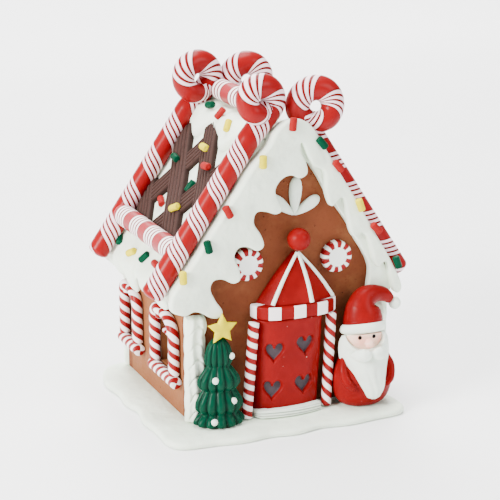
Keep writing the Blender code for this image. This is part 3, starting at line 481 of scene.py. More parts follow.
class Value:
    """A node's output socket. Arithmetic on it adds Math nodes to the same finish."""

    def __init__(self, finish, socket):
        self.finish, self.socket = finish, socket

    def math(self, operation, *values):
        return self.finish.node("Math", {"operation": operation}, dict(enumerate(values)))

    def __add__(self, other):
        return self.math("ADD", self, other)

    def __sub__(self, other):
        return self.math("SUBTRACT", self, other)

    def __rsub__(self, other):
        return self.math("SUBTRACT", other, self)

    def __mul__(self, other):
        return self.math("MULTIPLY", self, other)

    def __truediv__(self, other):
        return self.math("DIVIDE", self, other)

    def __mod__(self, other):
        return self.math("FLOORED_MODULO", self, other)

    def __gt__(self, other):
        return self.math("GREATER_THAN", self, other)

    def __lt__(self, other):
        return self.math("LESS_THAN", self, other)

    def __abs__(self):
        return self.math("ABSOLUTE", self)

    __radd__, __rmul__ = __add__, __mul__

    def ramp(self, low, high):
        """Eases from 0 where the value is low to 1 where it is high."""
        return self.finish.node("MapRange", {"interpolation_type": "SMOOTHSTEP", "clamp": True},
                                {"Value": self, "From Min": low, "From Max": high})


class Finish:
    """A material being built on its Principled shader."""

    def __init__(self, name, roughness=0.5, coat=0.0, softness=0.0, glow=None):
        self.material = bpy.data.materials.new(name)
        self.material.use_nodes = True
        self.tree = self.material.node_tree
        self.shader = self.tree.nodes["Principled BSDF"]
        self.put(self.shader.inputs["Roughness"], roughness)
        self.put(self.shader.inputs["Coat Weight"], coat)
        self.put(self.shader.inputs["Coat Roughness"], 0.25)
        self.put(self.shader.inputs["Specular IOR Level"], 0.04)
        if softness:
            self.put(self.shader.inputs["Subsurface Weight"], softness)
            self.put(self.shader.inputs["Subsurface Scale"], 0.002)
            self.put(self.shader.inputs["Subsurface Radius"], glow or (1.0, 0.8, 0.6))

    def put(self, socket, value):
        """Links a Value, or sets a constant on the socket itself."""
        if isinstance(value, Value):
            self.tree.links.new(value.socket, socket)
        else:
            socket.default_value = value

    def node(self, kind, settings=None, sockets=None, output=0):
        """Any node: its type, its settings and ramp stops, and its sockets' values or links."""
        made = self.tree.nodes.new("ShaderNode" + kind)
        for key, value in (settings or {}).items():
            setattr(made, key, value)
        for key, value in (sockets or {}).items():
            self.put(made.inputs[key], value)
        return Value(self, made.outputs[output])

    def colour(self, rgb):
        return (*rgb, 1.0)

    def mix(self, first, second, share):
        """From the first colour to the second as share goes from 0 to 1."""
        first, second = [self.colour(c) if isinstance(c, (tuple, list)) and len(c) == 3 else c
                         for c in (first, second)]
        return self.node("Mix", {"data_type": "RGBA"}, {0: share, 6: first, 7: second}, output=2)

    def place(self, scale=(1, 1, 1)):
        """Object coordinates in metres, stretched by scale."""
        where = self.node("TexCoord", output=3)
        if scale == (1, 1, 1):
            return where
        return self.node("Mapping", {}, {"Vector": where, "Scale": scale})

    def cloud(self, size, detail=3.0, where=None, roughness=0.55):
        """Noise from 0 to 1 with blotches of about the given size in metres."""
        return self.node("TexNoise", {}, {"Vector": where or self.place(), "Scale": 1.0 / size,
                                          "Detail": detail, "Roughness": roughness})

    def dots(self, size):
        """Distance from the nearest of scattered spots, in spot spacings."""
        return self.node("TexVoronoi", {}, {"Vector": self.place(), "Scale": 1.0 / size})

    def mark(self):
        return self.node("Attribute", {"attribute_name": "mark"}, output=2)

    def pattern(self, axis):
        """One coordinate of the piece's own UV map: 0 along and 1 around."""
        where = self.node("UVMap", {"uv_map": "Pattern"})
        return self.node("SeparateXYZ", {}, {0: where}, output=axis)

    def bump(self, height, depth, strength=1.0):
        """Raises the surface by height times depth in metres."""
        self.put(self.shader.inputs["Normal"], self.node(
            "Bump", {}, {"Height": height, "Distance": depth, "Strength": strength}))
        return self

    def paint(self, colour, roughness=None):
        self.put(self.shader.inputs["Base Color"],
                 self.colour(colour) if isinstance(colour, tuple) and len(colour) == 3 else colour)
        if roughness is not None:
            self.put(self.shader.inputs["Roughness"], roughness)
        return self

    def done(self):
        return self.material


FINISHES = {}


def finish(maker):
    """Makes each finish once and gives the same material to every piece that asks for it."""
    def once(*args):
        key = (maker.__name__, *args)
        if key not in FINISHES:
            FINISHES[key] = maker(*args)
        return FINISHES[key]
    once.__doc__ = maker.__doc__
    return once


def scaled(rgb, factor):
    return tuple(min(c * factor, 1.0) for c in rgb)


def colours():
    return bpy.context.scene.house_colours


def sizes():
    return bpy.context.scene.house_sizes


def shade(name):
    """A colour of the panel as three numbers."""
    return tuple(getattr(colours(), name))


@finish
def snow_icing():
    """Off-white icing clay: faint warm and cool blotches, soft dents and a fine matt grain."""
    made = Finish("snow_icing_clay", 0.5, softness=0.12)
    white = shade("snow")
    blotch = made.cloud(0.016, 3.0)
    grain = made.cloud(0.0009, 2.0)
    tone = made.mix(scaled(white, 0.93), white, blotch.ramp(0.35, 0.6))
    tone = made.mix(tone, (white[0], white[1] * 0.97, white[2] * 0.92), made.cloud(0.006).ramp(0.62, 0.8) * 0.6)
    made.paint(tone, made.cloud(0.008) * 0.2 + 0.38)
    return made.bump(made.cloud(0.011, 2.0) + grain * 0.06, 0.0026, 0.6).done()


@finish
def white_clay():
    """Smooth white clay of the figure's trim, the petals and the step, greyer where marked."""
    made = Finish("white_clay", 0.5, softness=0.15)
    white = shade("white_clay")
    tone = made.mix(scaled(white, 0.92), white, made.cloud(0.01).ramp(0.35, 0.65))
    # Painted shade: greyer where mark is set, which is in the step's grooves and streaks.
    tone = made.mix(tone, scaled(white, 0.45), made.mark() * 0.8)
    made.paint(tone, made.cloud(0.005) * 0.2 + 0.4)
    return made.bump(made.cloud(0.004) + made.cloud(0.0008) * 0.15, 0.0005, 0.5).done()


@finish
def gingerbread(wall="front"):
    """Baked-brown clay: broad dark and light patches, small pores, pale crumbs and fine grain.
    The side walls are baked a paler tan."""
    made = Finish("gingerbread_" + wall, 0.6)
    base, dark, light = shade("gingerbread"), shade("gingerbread_dark"), shade("gingerbread_light")
    # Painted light: the side walls take a paler, lit copy of the gingerbread, with the front colour as their darker
    # patches.
    if wall == "side":
        base, dark = shade("gingerbread_side"), base
    patch = made.cloud(0.028, 4.0)
    tone = made.mix(base, dark, patch.ramp(0.5, 0.8) * 0.5)
    tone = made.mix(tone, light, made.cloud(0.02, 3.0, made.place((1.0, 1.0, 1.3))).ramp(0.45, 0.8) * 0.35)
    pores = made.dots(0.0042).ramp(0.16, 0.05) * made.cloud(0.012, 1.0).ramp(0.42, 0.55)
    crumbs = made.dots(0.0067).ramp(0.1, 0.04) * made.cloud(0.009, 1.0).ramp(0.55, 0.65)
    tone = made.mix(tone, scaled(dark, 0.45), pores * 0.8)
    tone = made.mix(tone, scaled(light, 1.5), crumbs * 0.5)
    tone = made.mix(tone, scaled(base, 0.75), made.cloud(0.0016, 2.0).ramp(0.5, 0.75) * 0.45)
    made.paint(tone, made.cloud(0.01) * 0.25 + 0.42)
    height = made.cloud(0.0022, 4.0) * 0.5 - pores * 0.8 + crumbs * 0.4 + made.cloud(0.014) * 1.4
    return made.bump(height, 0.0006, 0.7).done()


@finish
def red_clay():
    """Red clay with faint darker blotches and a dusting of tiny pale specks."""
    made = Finish("red_clay", 0.42, coat=0.06)
    red = shade("red_clay")
    tone = made.mix(scaled(red, 0.78), red, made.cloud(0.013).ramp(0.3, 0.65))
    speck = made.dots(0.005).ramp(0.075, 0.035) * made.cloud(0.02, 1.0).ramp(0.5, 0.62)
    tone = made.mix(tone, (0.75, 0.45, 0.38), speck * 0.7)
    made.paint(tone, made.cloud(0.006) * 0.2 + 0.32)
    return made.bump(made.cloud(0.006) + made.cloud(0.001) * 0.15 + speck * 0.3, 0.0005, 0.5).done()


@finish
def candy(kind):
    """Candy stripes on the piece's own UV map: along counts the repeats and around turns once.

    Rails and rolls have one broad red band and a group of pale stripes parted by thin red lines.
    Canes have one red and one white stripe in each repeat, the slow ones with half the twist.
    """
    made = Finish("candy_" + kind, 0.3, coat=0.14)
    white, pink = shade("candy_white"), shade("candy_pink")
    red = shade("roll_red" if kind == "roll" else "candy_red")
    twist = {"rail": 1.0, "roll": 0.0, "cane": 2.0, "slow_cane": 1.0}[kind]
    phase = made.pattern(0) + made.pattern(1) * twist
    phase = phase + (made.cloud(0.012, 1.0) - 0.5) * (0.03 if kind == "roll" else 0.02)
    turn = phase % 1.0
    soft = 0.012
    if kind.endswith("cane"):
        band = turn.ramp(0.0, 0.05) * turn.ramp(0.56, 0.51)
        tone = made.mix(white, red, band)
    else:
        start = {"rail": 0.41, "roll": 0.38}[kind]
        stripes = 4
        inner = (turn - start) * (stripes / (1.0 - start))
        line = abs((inner % 1.0) - 0.5)
        pale = line.ramp(0.33, 0.25) * turn.ramp(start - soft, start + soft)
        line_red = scaled(red, 0.62)
        tone = made.mix(made.mix(red, line_red, turn.ramp(start - soft, start)),
                        pink if kind == "rail" else white, pale)
    tone = made.mix(tone, scaled(red, 0.6), made.cloud(0.01).ramp(0.55, 0.8) * 0.18)
    made.paint(tone, made.cloud(0.007) * 0.2 + 0.22)
    return made.bump(made.cloud(0.005), 0.0003, 0.5).done()


@finish
def chocolate():
    """Dark brown clay strips, a little paler and greyer on top of their ridges."""
    made = Finish("chocolate_clay", 0.5)
    dark, light = shade("chocolate"), shade("chocolate_ridge_highlight")
    # Painted highlight on the ridge tops and painted shade in the hollows, following the ridge height in mark.
    tone = made.mix(dark, light, made.mark().ramp(0.3, 0.95))
    tone = made.mix(tone, scaled(dark, 0.6), made.cloud(0.004).ramp(0.55, 0.75) * 0.5)
    made.paint(tone, made.cloud(0.003) * 0.2 + 0.38)
    streak = made.cloud(0.0015, 3.0)
    return made.bump(streak, 0.0003, 0.6).done()


@finish
def tree_green():
    """Green clay, deeper in the hollows between the flutes."""
    made = Finish("tree_green_clay", 0.38, coat=0.08)
    green, dark = shade("green"), shade("green_hollow_shade")
    # Painted shade: darker green in the hollows between the flutes, carried by mark.
    tone = made.mix(green, dark, made.mark().ramp(0.2, 0.9))
    tone = made.mix(tone, scaled(green, 1.35), made.cloud(0.008).ramp(0.55, 0.75) * 0.4)
    made.paint(tone, made.cloud(0.006) * 0.2 + 0.28)
    return made.bump(made.cloud(0.004) + made.cloud(0.001) * 0.15, 0.0004, 0.6).done()


@finish
def plain_clay(name):
    """Smooth clay in one of the panel's colours, with soft blotches and faint dents."""
    made = Finish(name + "_clay", 0.46, coat=0.02)
    tint = shade(name)
    tone = made.mix(scaled(tint, 0.86), tint, made.cloud(0.007).ramp(0.3, 0.6))
    made.paint(tone, made.cloud(0.004) * 0.2 + 0.34)
    return made.bump(made.cloud(0.003) + made.cloud(0.0008) * 0.2, 0.0004, 0.5).done()


@finish
def skin_clay():
    """Pale doll skin with a faint blush."""
    made = Finish("skin_clay", 0.5, softness=0.25, glow=(1.0, 0.5, 0.35))
    tint, blush = shade("skin"), shade("skin_blush")
    tone = made.mix(tint, blush, made.mark() * 0.7)
    tone = made.mix(tone, scaled(tint, 0.93), made.cloud(0.006).ramp(0.45, 0.7))
    return made.paint(tone, made.cloud(0.004) * 0.2 + 0.4).bump(made.cloud(0.003), 0.0003, 0.4).done()


@finish
def mint_candy():
    """Round mint: white, with red wedges at the rim. UV runs inwards and around."""
    made = Finish("mint_candy", 0.35, coat=0.15)
    reach, turn = made.pattern(0), made.pattern(1)
    wedge = (turn * 10.0 + (made.cloud(0.006, 1.0) - 0.5) * 0.12) % 1.0
    mask = wedge.ramp(0.0, 0.06) * wedge.ramp(0.64, 0.58) * reach.ramp(0.58, 0.61)
    tone = made.mix(shade("mint_white"), shade("candy_red"), mask)
    made.paint(made.mix(tone, (0.7, 0.66, 0.62), made.cloud(0.004).ramp(0.6, 0.8) * 0.3),
               made.cloud(0.004) * 0.2 + 0.25)
    return made.bump(made.cloud(0.004), 0.0003, 0.5).done()


@finish
def door_clay():
    """Door clay: red, with grey clay at the bottom of the heart-shaped hollows."""
    made = Finish("door_clay", 0.42, coat=0.06)
    red = shade("red_clay")
    tone = made.mix(scaled(red, 0.8), red, made.cloud(0.014).ramp(0.3, 0.65))
    speck = made.dots(0.0045).ramp(0.085, 0.04) * made.cloud(0.02, 1.0).ramp(0.48, 0.6)
    tone = made.mix(tone, (0.8, 0.55, 0.48), speck * 0.8)
    tone = made.mix(tone, shade("heart_grey"), made.mark().ramp(0.62, 0.86))
    made.paint(tone, made.cloud(0.006) * 0.2 + 0.32)
    return made.bump(made.cloud(0.007) + made.cloud(0.001) * 0.15, 0.0005, 0.5).done()


@finish
def band_clay():
    """Red band with white clay squares: mark is 1 on the squares."""
    made = Finish("band_clay", 0.42, coat=0.06)
    red = shade("red_clay")
    tone = made.mix(scaled(red, 0.85), red, made.cloud(0.01).ramp(0.3, 0.65))
    tone = made.mix(tone, shade("candy_white"), made.mark().ramp(0.35, 0.65))
    made.paint(tone, made.cloud(0.006) * 0.2 + 0.3)
    return made.bump(made.cloud(0.005), 0.0004, 0.5).done()


# ---------------------------------------------------------------- what the panel offers

def tint(name, note, rgb):
    return bpy.props.FloatVectorProperty(name=name, description=note, default=rgb, min=0.0,
                                         max=1.0, size=3, subtype="COLOR")


def length(name, note, millimetres):
    return bpy.props.FloatProperty(name=name, description=note, default=millimetres * MM,
                                   min=0.0, subtype="DISTANCE", unit="LENGTH")


class HouseColours(bpy.types.PropertyGroup):
    snow: tint("Snow icing", "Icing on the base, roof, gables and corners", (0.8, 0.885, 0.745))
    white_clay: tint("White clay", "Beard, hat band, petals, ribs and step", (0.8, 0.875, 0.775))
    gingerbread: tint("Gingerbread", "Middle brown of the walls", (0.155, 0.043, 0.018))
    gingerbread_dark: tint("Gingerbread, dark", "Darker patches and pores", (0.1, 0.024, 0.01))
    gingerbread_light: tint("Gingerbread, light", "Paler patches", (0.28, 0.115, 0.048))
    # Painted light: a paler, lit copy of the gingerbread for the two side walls.
    gingerbread_side: tint("Gingerbread of the side walls", "Paler tan clay of the two side walls", (0.225, 0.082, 0.033))
    candy_red: tint("Candy red", "Red bands of the candy rails, rolls and canes", (0.215, 0.004, 0.0055))
    roll_red: tint("Roll red", "Paler red bands of the candy rolls", (0.29, 0.024, 0.03))
    candy_white: tint("Candy white", "White bands of the canes", (0.92, 0.84, 0.83))
    candy_pink: tint("Candy pale pink", "Pale stripes of the rails", (0.9, 0.66, 0.71))
    mint_white: tint("Mint white", "White of the round mints", (0.9, 0.92, 0.88))
    red_clay: tint("Red clay", "Door, door roof, ball, body and hat", (0.195, 0.003, 0.0035))
    heart_grey: tint("Heart grey", "Bottom of the heart-shaped hollows", (0.055, 0.042, 0.05))
    # Painted shade and highlight: the strips stay darkest in their hollows and turn paler and greyer on the ridge tops
    # with the colour below.
    chocolate: tint("Chocolate", "Hollows of the roof strips", (0.022, 0.011, 0.009))
    chocolate_ridge_highlight: tint("Chocolate, light", "Ridges of the roof strips", (0.046, 0.024, 0.02))
    green: tint("Green", "Tree", (0.0, 0.04, 0.02))
    # Painted shade: the darker green of the hollows between the flutes.
    green_hollow_shade: tint("Green, dark", "Hollows of the tree", (0.0, 0.014, 0.008))
    yellow: tint("Yellow", "Star and yellow sprinkles", (0.68, 0.56, 0.0))
    sprinkle_green: tint("Sprinkle green", "Green sprinkles", (0.0, 0.042, 0.019))
    sprinkle_red: tint("Sprinkle red", "Red sprinkles", (0.27, 0.01, 0.01))
    skin: tint("Skin", "Face and nose", (0.97, 0.66, 0.52))
    skin_blush: tint("Blush", "Flush of the cheeks and nose", (0.85, 0.36, 0.28))
    black: tint("Black", "Eyes", (0.006, 0.005, 0.005))
    ground: tint("Floor", "Plain floor", (0.93, 0.93, 0.93))


class HouseSizes(bpy.types.PropertyGroup):
    snow_edge: length("Icing edge", "Radius of the rounded edge of the gable icing", 1.9)
    rail: length("Rail radius", "Radius of the candy rails", 6.5)
    cane: length("Cane radius", "Radius of the window canes", 3.3)
    stripe_rail: length("Rail repeat", "Length of one repeat of the rail's stripes", 22.8)
    stripe_roll: length("Roll repeat", "Length of one repeat of the roll's stripes", 24.7)
    stripe_cane: length("Cane repeat", "Length of one red and one white stripe of a cane", 7.0)
    sprinkle_length: length("Sprinkle length", "Length of a sprinkle", 7.6)
    sprinkle_radius: length("Sprinkle radius", "Radius of a sprinkle", 2.2)
    strip_ridges: bpy.props.IntProperty(name="Strip ridges", default=5, min=1, max=12,
                                        description="Lengthwise ridges on each roof strip")
    flutes: bpy.props.IntProperty(name="Tree flutes", default=13, min=4, max=24,
                                  description="Flutes round the tree")


# ---------------------------------------------------------------- base, walls and roof

BASE_CENTRE = np.array([-8.6, -12.4])
BASE_HALF = np.array([75.6, 73.0])
BASE_POWER, BASE_WAVE, BASE_LOBES = 9.0, 1.2, 15
ICING_TOP = 68.4
NOSE_END = {"left": 138.0, "right": 146.0}
EAVE_SHIFT = {"left": 0.0, "right": -8.5}
EAVE_HOLLOW, DRIP_THICK = 77.0, 4.6
EAVE_DRIPS = ((49, 11, 72.5), (33, 9, 70.5), (13, 9, 65.5), (-12, 11, 70.0), (-36, 11, 69.5))


class HOUSE_OT_base(bpy.types.Operator):
    """Snow base: a rounded, gently lobed square with a soft rim and faint swells on top"""
    bl_idname = "house.base"
    bl_label = "Snow base"

    def execute(self, context):
        a = np.linspace(0, TAU, 360, endpoint=False)
        a = a + 0.12 * np.sin(4 * a)
        c, s = np.cos(a), np.sin(a)
        reach = (abs(c) ** BASE_POWER + abs(s) ** BASE_POWER) ** (-1 / BASE_POWER)
        wave = BASE_WAVE * (np.sin(BASE_LOBES * a) + 0.5 * np.sin(7 * a + 1.0))
        loop = (BASE_CENTRE + BASE_HALF * reach[:, None] * np.stack([c, s], 1)
                + wave[:, None] * np.stack([c, s], 1))
        rows, current, done = [], loop, 0.0
        turn = np.linspace(0, math.pi / 2, 7)
        levels = [(0.0, 1.0), (0.7, 0.25), (1.6, 0.0)]
        levels += [(1.6 + 2.4 * math.sin(t), 3.0 * (1 - math.cos(t))) for t in turn[1:]]
        levels += [(4.15, 4.6), (BASE_TOP, 7.5)]
        for z, moved in levels:
            current, done = inset(current, moved - done, 0.1), moved
            rows.append(np.column_stack([current, np.full(len(a), z)]))
        for share in np.linspace(1, 0.02, 26)[1:]:
            flat = BASE_CENTRE + (current - BASE_CENTRE) * share
            rows.append(np.column_stack([flat, np.full(len(a), BASE_TOP)]))
        rows = np.array(rows)
        top = np.clip((rows[..., 2] - 3.0) / (BASE_TOP - 3.0), 0, 1)
        rows[..., 2] -= top * (0.22 + 0.2 * wobble(rows, 34.0, 4))
        Skin().add(rows).piece("icing_base", snow_icing(), ["snow_base"], "snow_icing")
        return {"FINISHED"}


class HOUSE_OT_walls(bpy.types.Operator):
    """Gingerbread finish on the four walls of the frame"""
    bl_idname = "house.walls"
    bl_label = "Walls"

    def execute(self, context):
        # The side walls take the paler gingerbread, which is painted light.
        for name, wall in (("front_wall", "front"), ("back_wall", "front"),
                           ("left_wall", "side"), ("right_wall", "side")):
            frame["nodes"][name].data.materials[0] = gingerbread(wall)
        return {"FINISHED"}


class HOUSE_OT_corner_icing(bpy.types.Operator):
    """Lumpy strips of icing down the four corners: a half-round section whose width and
    thickness swell in lobes up the wall, with soft creases along it"""
    bl_idname = "house.corner_icing"
    bl_label = "Corner icing"

    def execute(self, context):
        t = np.linspace(0, 1, 110)[:, None]
        a = np.linspace(0, math.pi, 40)[None]
        for row, way in (("front", -1.0), ("back", 1.0)):
            for side, sign in SIDES.items():
                swell = (0.45 * np.sin(5.2 * math.pi * t + sign) + 0.25 * np.sin(11 * t + way))
                lobes = abs(np.sin(5.6 * math.pi * t + 0.8 * sign + way)) ** 0.7 - 0.6
                wide = 10.8 + swell + 0.9 * lobes
                end = np.minimum(1.0, np.sqrt(np.maximum(1 - ((t - 0.5) / 0.5) ** 24, 0)) + 0.35)
                thick = (6.3 + 0.8 * swell + 0.5 * lobes) * end
                outside = 1.5 + 0.5 * lobes
                middle, half = 0.5 * (outside - wide), 0.5 * (outside + wide)
                u = middle - half * np.sign(np.cos(a)) * abs(np.cos(a)) ** 0.85
                crease = 0.75 * np.cos(7 * a + 1.6 * np.sin(6 * t) + sign) * np.sin(a) ** 2
                crease -= 1.3 * np.exp(-((t * 6.3 + 0.3 * np.sin(3 * a)) % 1.0 - 0.5) ** 2 / 0.006) \
                    * np.sin(a) ** 2
                v = thick * np.sin(a) ** 0.62 * (1 - 0.12 * np.cos(a)) + crease
                v = np.maximum(v, 0.0)
                x = sign * (HALF_WIDTH + GAP + u)
                y = way * (FACE + v)
                z = FOOT + t * (ICING_TOP - FOOT) + 0 * a
                rows = np.stack(np.broadcast_arrays(x, y, z), -1)
                name = f"icing_{row}_{side}"
                Skin().add(rows).piece(f"corner_{row}_{side}", snow_icing(), [name], "snow_icing")
        return {"FINISHED"}


SLOPE_Z = {side: RIDGE_Z - (NOSE_END[side] - 9.0) * math.sin(SLOPE[side]) for side in SIDES}


def drip_height(y):
    """Lowest height of the eave icing at y: a level hollow line with rounded drips below it, each
    falling by a flattened half circle of its distance from the drip's middle."""
    low = np.full_like(y, EAVE_HOLLOW)
    for middle, half, tip in EAVE_DRIPS:
        u = np.clip(abs(y - middle) / half, 0, 1)
        low = np.minimum(low, EAVE_HOLLOW - (EAVE_HOLLOW - tip) * (1 - u * u) ** 0.5)
    return low


class HOUSE_OT_roof(bpy.types.Operator):
    """Snowy roof slabs: one section per station along Y, flat down the slope, rounded over the
    eave and hanging down to the height of the drips there"""
    bl_idname = "house.roof"
    bl_label = "Roof slabs"

    def execute(self, context):
        y = np.linspace(-HALF_DEPTH, HALF_DEPTH, 260)
        under = -ROOF_DROP - ROOF_THICK
        for side, sign in SIDES.items():
            a, end = SLOPE[side], NOSE_END[side]
            tip = drip_height(y) + EAVE_SHIFT[side]
            nose = slope_point(side, end, -ROOF_DROP - 1.6)
            outer = sign * nose[0] - 0.22 * (nose[2] - tip)
            inner = outer - 0.85 * DRIP_THICK
            meet = (inner - sign * RIDGE_X - under * math.sin(a)) / math.cos(a)
            top = [slope_point(side, s, -ROOF_DROP, y) for s in np.linspace(ROOF_START, end - 7.0, 16)]
            shoulder = slope_point(side, end - 2.0, -ROOF_DROP + 0.1, y)
            face = [np.stack([sign * (outer + f * (sign * nose[0] - outer)), y,
                              tip + f * (nose[2] - tip) + 1.2], -1) for f in (0.75, 0.4, 0.1)]
            low = [np.stack([sign * (outer - 0.45 * DRIP_THICK), y, tip - 0.2], -1),
                   np.stack([sign * inner, y, tip + 0.8], -1)]
            below = [slope_point(side, meet, under, y), slope_point(side, ROOF_START, under, y)]
            sections = np.stack(top + [shoulder] + face + low + below, 1)
            sections = fillet(sections, [0.4] + [2.0] * 15 + [3.4] + [2.4] * 3 + [1.8, 1.4, 1.0, 0.4], 6)
            share = (EAVE_HOLLOW + EAVE_SHIFT[side] - tip) / 7.0
            low_part = smooth((SLOPE_Z[side] - sections[..., 2]) / 12.0)
            lift = 0.35 * wobble(sections, 26.0, 7 if side == "left" else 9)
            lift += low_part * (2.4 * smooth(share)[:, None] - 1.8) \
                * (np.arange(sections.shape[1]) < 6 * 20)
            sections[..., 0] += sign * lift * math.sin(a)
            sections[..., 2] += lift * math.cos(a)
            middle = sections.mean(1, keepdims=True)
            for row, share in ((0, 0.985), (-1, 0.985)):
                sections[row] = middle[row] + (sections[row] - middle[row]) * share
            Skin().add(sections, cap="face").piece(
                f"icing_roof_{side}", snow_icing(), ["roof_" + side], "snow_icing")
        return {"FINISHED"}


def cap_edge(y, side):
    """How far down the slope the ridge icing reaches: a level plus two sine waves of y."""
    shift = 0.0 if side == "left" else 1.7
    return 43.0 + 4.2 * np.sin(0.145 * y + 3.6 + shift) + 1.6 * np.sin(0.31 * y + shift)


class HOUSE_OT_ridge(bpy.types.Operator):
    """Icing over the ridge: sections from one wavy edge over the flat top to the other"""
    bl_idname = "house.ridge"
    bl_label = "Ridge icing"

    def execute(self, context):
        y = np.linspace(-HALF_DEPTH, HALF_DEPTH, 160)
        halves = {}
        for side in SIDES:
            edge = cap_edge(y, side)
            halves[side] = [slope_point(side, edge + 0.3, -ROOF_DROP - 0.2, y),
                            slope_point(side, edge, -ROOF_DROP + 2.0, y),
                            slope_point(side, edge - 2.6, -ROOF_DROP + 3.9, y),
                            slope_point(side, 34.5, -ROOF_DROP + 4.3, y),
                            slope_point(side, 30.8, -ROOF_DROP + 4.4, y)]
        flat = [np.stack(np.broadcast_arrays(RIDGE_X + u, y, RIDGE_TOP), -1) for u in (-8.5, 8.5)]
        below = [slope_point("right", ROOF_START - 0.5, -ROOF_DROP, y)]
        below += [np.stack(np.broadcast_arrays(RIDGE_X + u, y, RIDGE_TOP - CAP_THICK), -1)
                  for u in (9, -9)]
        below += [slope_point("left", ROOF_START - 0.5, -ROOF_DROP, y)]
        sections = np.stack(halves["left"] + flat + halves["right"][::-1] + below, 1)
        sections = fillet(sections, [0.8, 1.6, 2.6, 1.5, 3.0, 3.0, 3.0, 3.0, 1.5, 2.6, 1.6, 0.8]
                          + [0.5] * 4, 6)
        sections[..., 2] += 0.25 * wobble(sections, 18.0, 3)
        Skin().add(sections, cap="face").piece("icing_ridge", snow_icing(), ["ridge_snow"],
                                               "snow_icing")
        return {"FINISHED"}


# ---------------------------------------------------------------- gable icing

SNOW_BACK = (FACE, 55.8)
SNOW_FRONT = (55.3, 60.4)
SNOW_EDGE = (
    (-75, 75.2), (-70, 72.3), (-66, 71.4), (-61.5, 73.2), (-56.5, 71.6), (-50.5, 68),
    (-45, 68), (-43.9, 71.5), (-48, 78), (-51.2, 85.5), (-49.5, 90), (-44, 90.4),
    (-37, 87), (-33, 88.6), (-33.4, 95), (-36.5, 103), (-33.5, 107.8), (-28, 107.5),
    (-22, 104.6), (-18.2, 107), (-20, 114), (-24.4, 121.5), (-22.8, 127.4), (-17, 127.2),
    (-10.5, 125), (-7, 127), (-9, 132.5), (-11.2, 139), (-7.5, 145), (-1.5, 147),
    (4.6, 144.6), (8.8, 147), (8.2, 153), (5.0, 160), (4.6, 166), (8.2, 158.5),
    (13, 150.6), (17, 149), (19.3, 147), (20.2, 136), (24.5, 126), (28, 129),
    (30.9, 130.8), (34, 121), (37, 109.5), (40, 105.6), (43, 108.4), (46, 107),
    (49.5, 100), (53, 88.5), (56.3, 85.4), (59, 89), (61, 88), (63.6, 79),
    (66.5, 69.5), (69.5, 68), (71.6, 71.5),
)
SNOW_INNER = (
    (-70, 76.2), (-60, 75.5), (-52, 72), (-47.5, 72.5), (-51, 79), (-54, 86.5),
    (-51, 92.6), (-43, 93), (-37.6, 90.5), (-36.6, 96), (-39.2, 104), (-34.5, 110.4),
    (-27.5, 110.2), (-22, 108.5), (-27, 121), (-24.5, 130), (-16.5, 130.2), (-10.8, 129),
    (-13.8, 139), (-9, 147.4), (-1.5, 149.8), (5, 147.6), (10, 153), (23, 134),
    (30.2, 123.6), (37.6, 113.1), (42.4, 103.4), (47.8, 94.8), (52, 85), (52.3, 68),
    (64.5, 67.6), (66.5, 72),
)
SNOW_APEX = ((13.5, 171.5), (9.5, 176.2), (3.5, 179), (-4.5, 178.4), (-10.6, 173.6), (-14.8, 166))


def slope_xz(side, places):
    return [tuple(slope_point(side, s, off)[[0, 2]]) for s, off in places]


class HOUSE_OT_gable_icing(bpy.types.Operator):
    """Icing on both gables: smooth outlines carried forward and rounded off at their face, a
    dripping layer in front of a smaller one on the wall"""
    bl_idname = "house.gable_icing"
    bl_label = "Gable icing"

    def execute(self, context):
        left = slope_xz("left", [(s, -ROOF_DROP) for s in (48, 70, 93, 115, 134)])
        right = slope_xz("right", [(128, -3.4), (106, -2.5), (84, -1.6), (64, -1.1), (44, -0.6)])
        right_back = slope_xz("right", [(s, -ROOF_DROP) for s in (130, 107, 84, 62, 40)])
        front = curve(list(SNOW_EDGE) + right + list(SNOW_APEX) + left, 620, closed=True)
        wall = curve(list(SNOW_INNER) + right_back + [(x, z - 1.2) for x, z in SNOW_APEX[1:]] + left,
                     420, closed=True)
        radius = sizes().snow_edge / MM
        for row, way in (("front", -1.0), ("back", 1.0)):
            skin = Skin().add(plate(front, *SNOW_FRONT, radius, way), cap="fill")
            skin.add(plate(wall, *SNOW_BACK, 1.0, way), cap="fill")
            skin.piece("icing_gable_" + row, snow_icing(), [row + "_snow"], "snow_icing")
        return {"FINISHED"}


# ---------------------------------------------------------------- candy rails and rolls

FRONT_RAIL_Y, BACK_RAIL_Y = -49.9, 45.1
LOOP_RADIUS, LOOP_SWELL = 9.8, 0.8
LOOP_SINK = 2.4
RAILS = {
    # side, plane, lower end along the slope, middle of the loop, tightening over one turn,
    # then the stripes' repeat as a share of the usual one and where they start
    "front_left": ("left", FRONT_RAIL_Y, 138.3, (-17.8, 191.6), 0.40, 0.93, 0.36),
    "front_right": ("right", FRONT_RAIL_Y, 138.6, (17.6, 187.0), 0.08, 0.98, 0.3),
    "back_left": ("left", BACK_RAIL_Y, 138.6, (-17.2, 189.0), 0.08, 1.06, 0.05),
    "back_right": ("right", BACK_RAIL_Y, 138.6, (15.8, 186.0), 0.08, 1.0, 0.6),
}


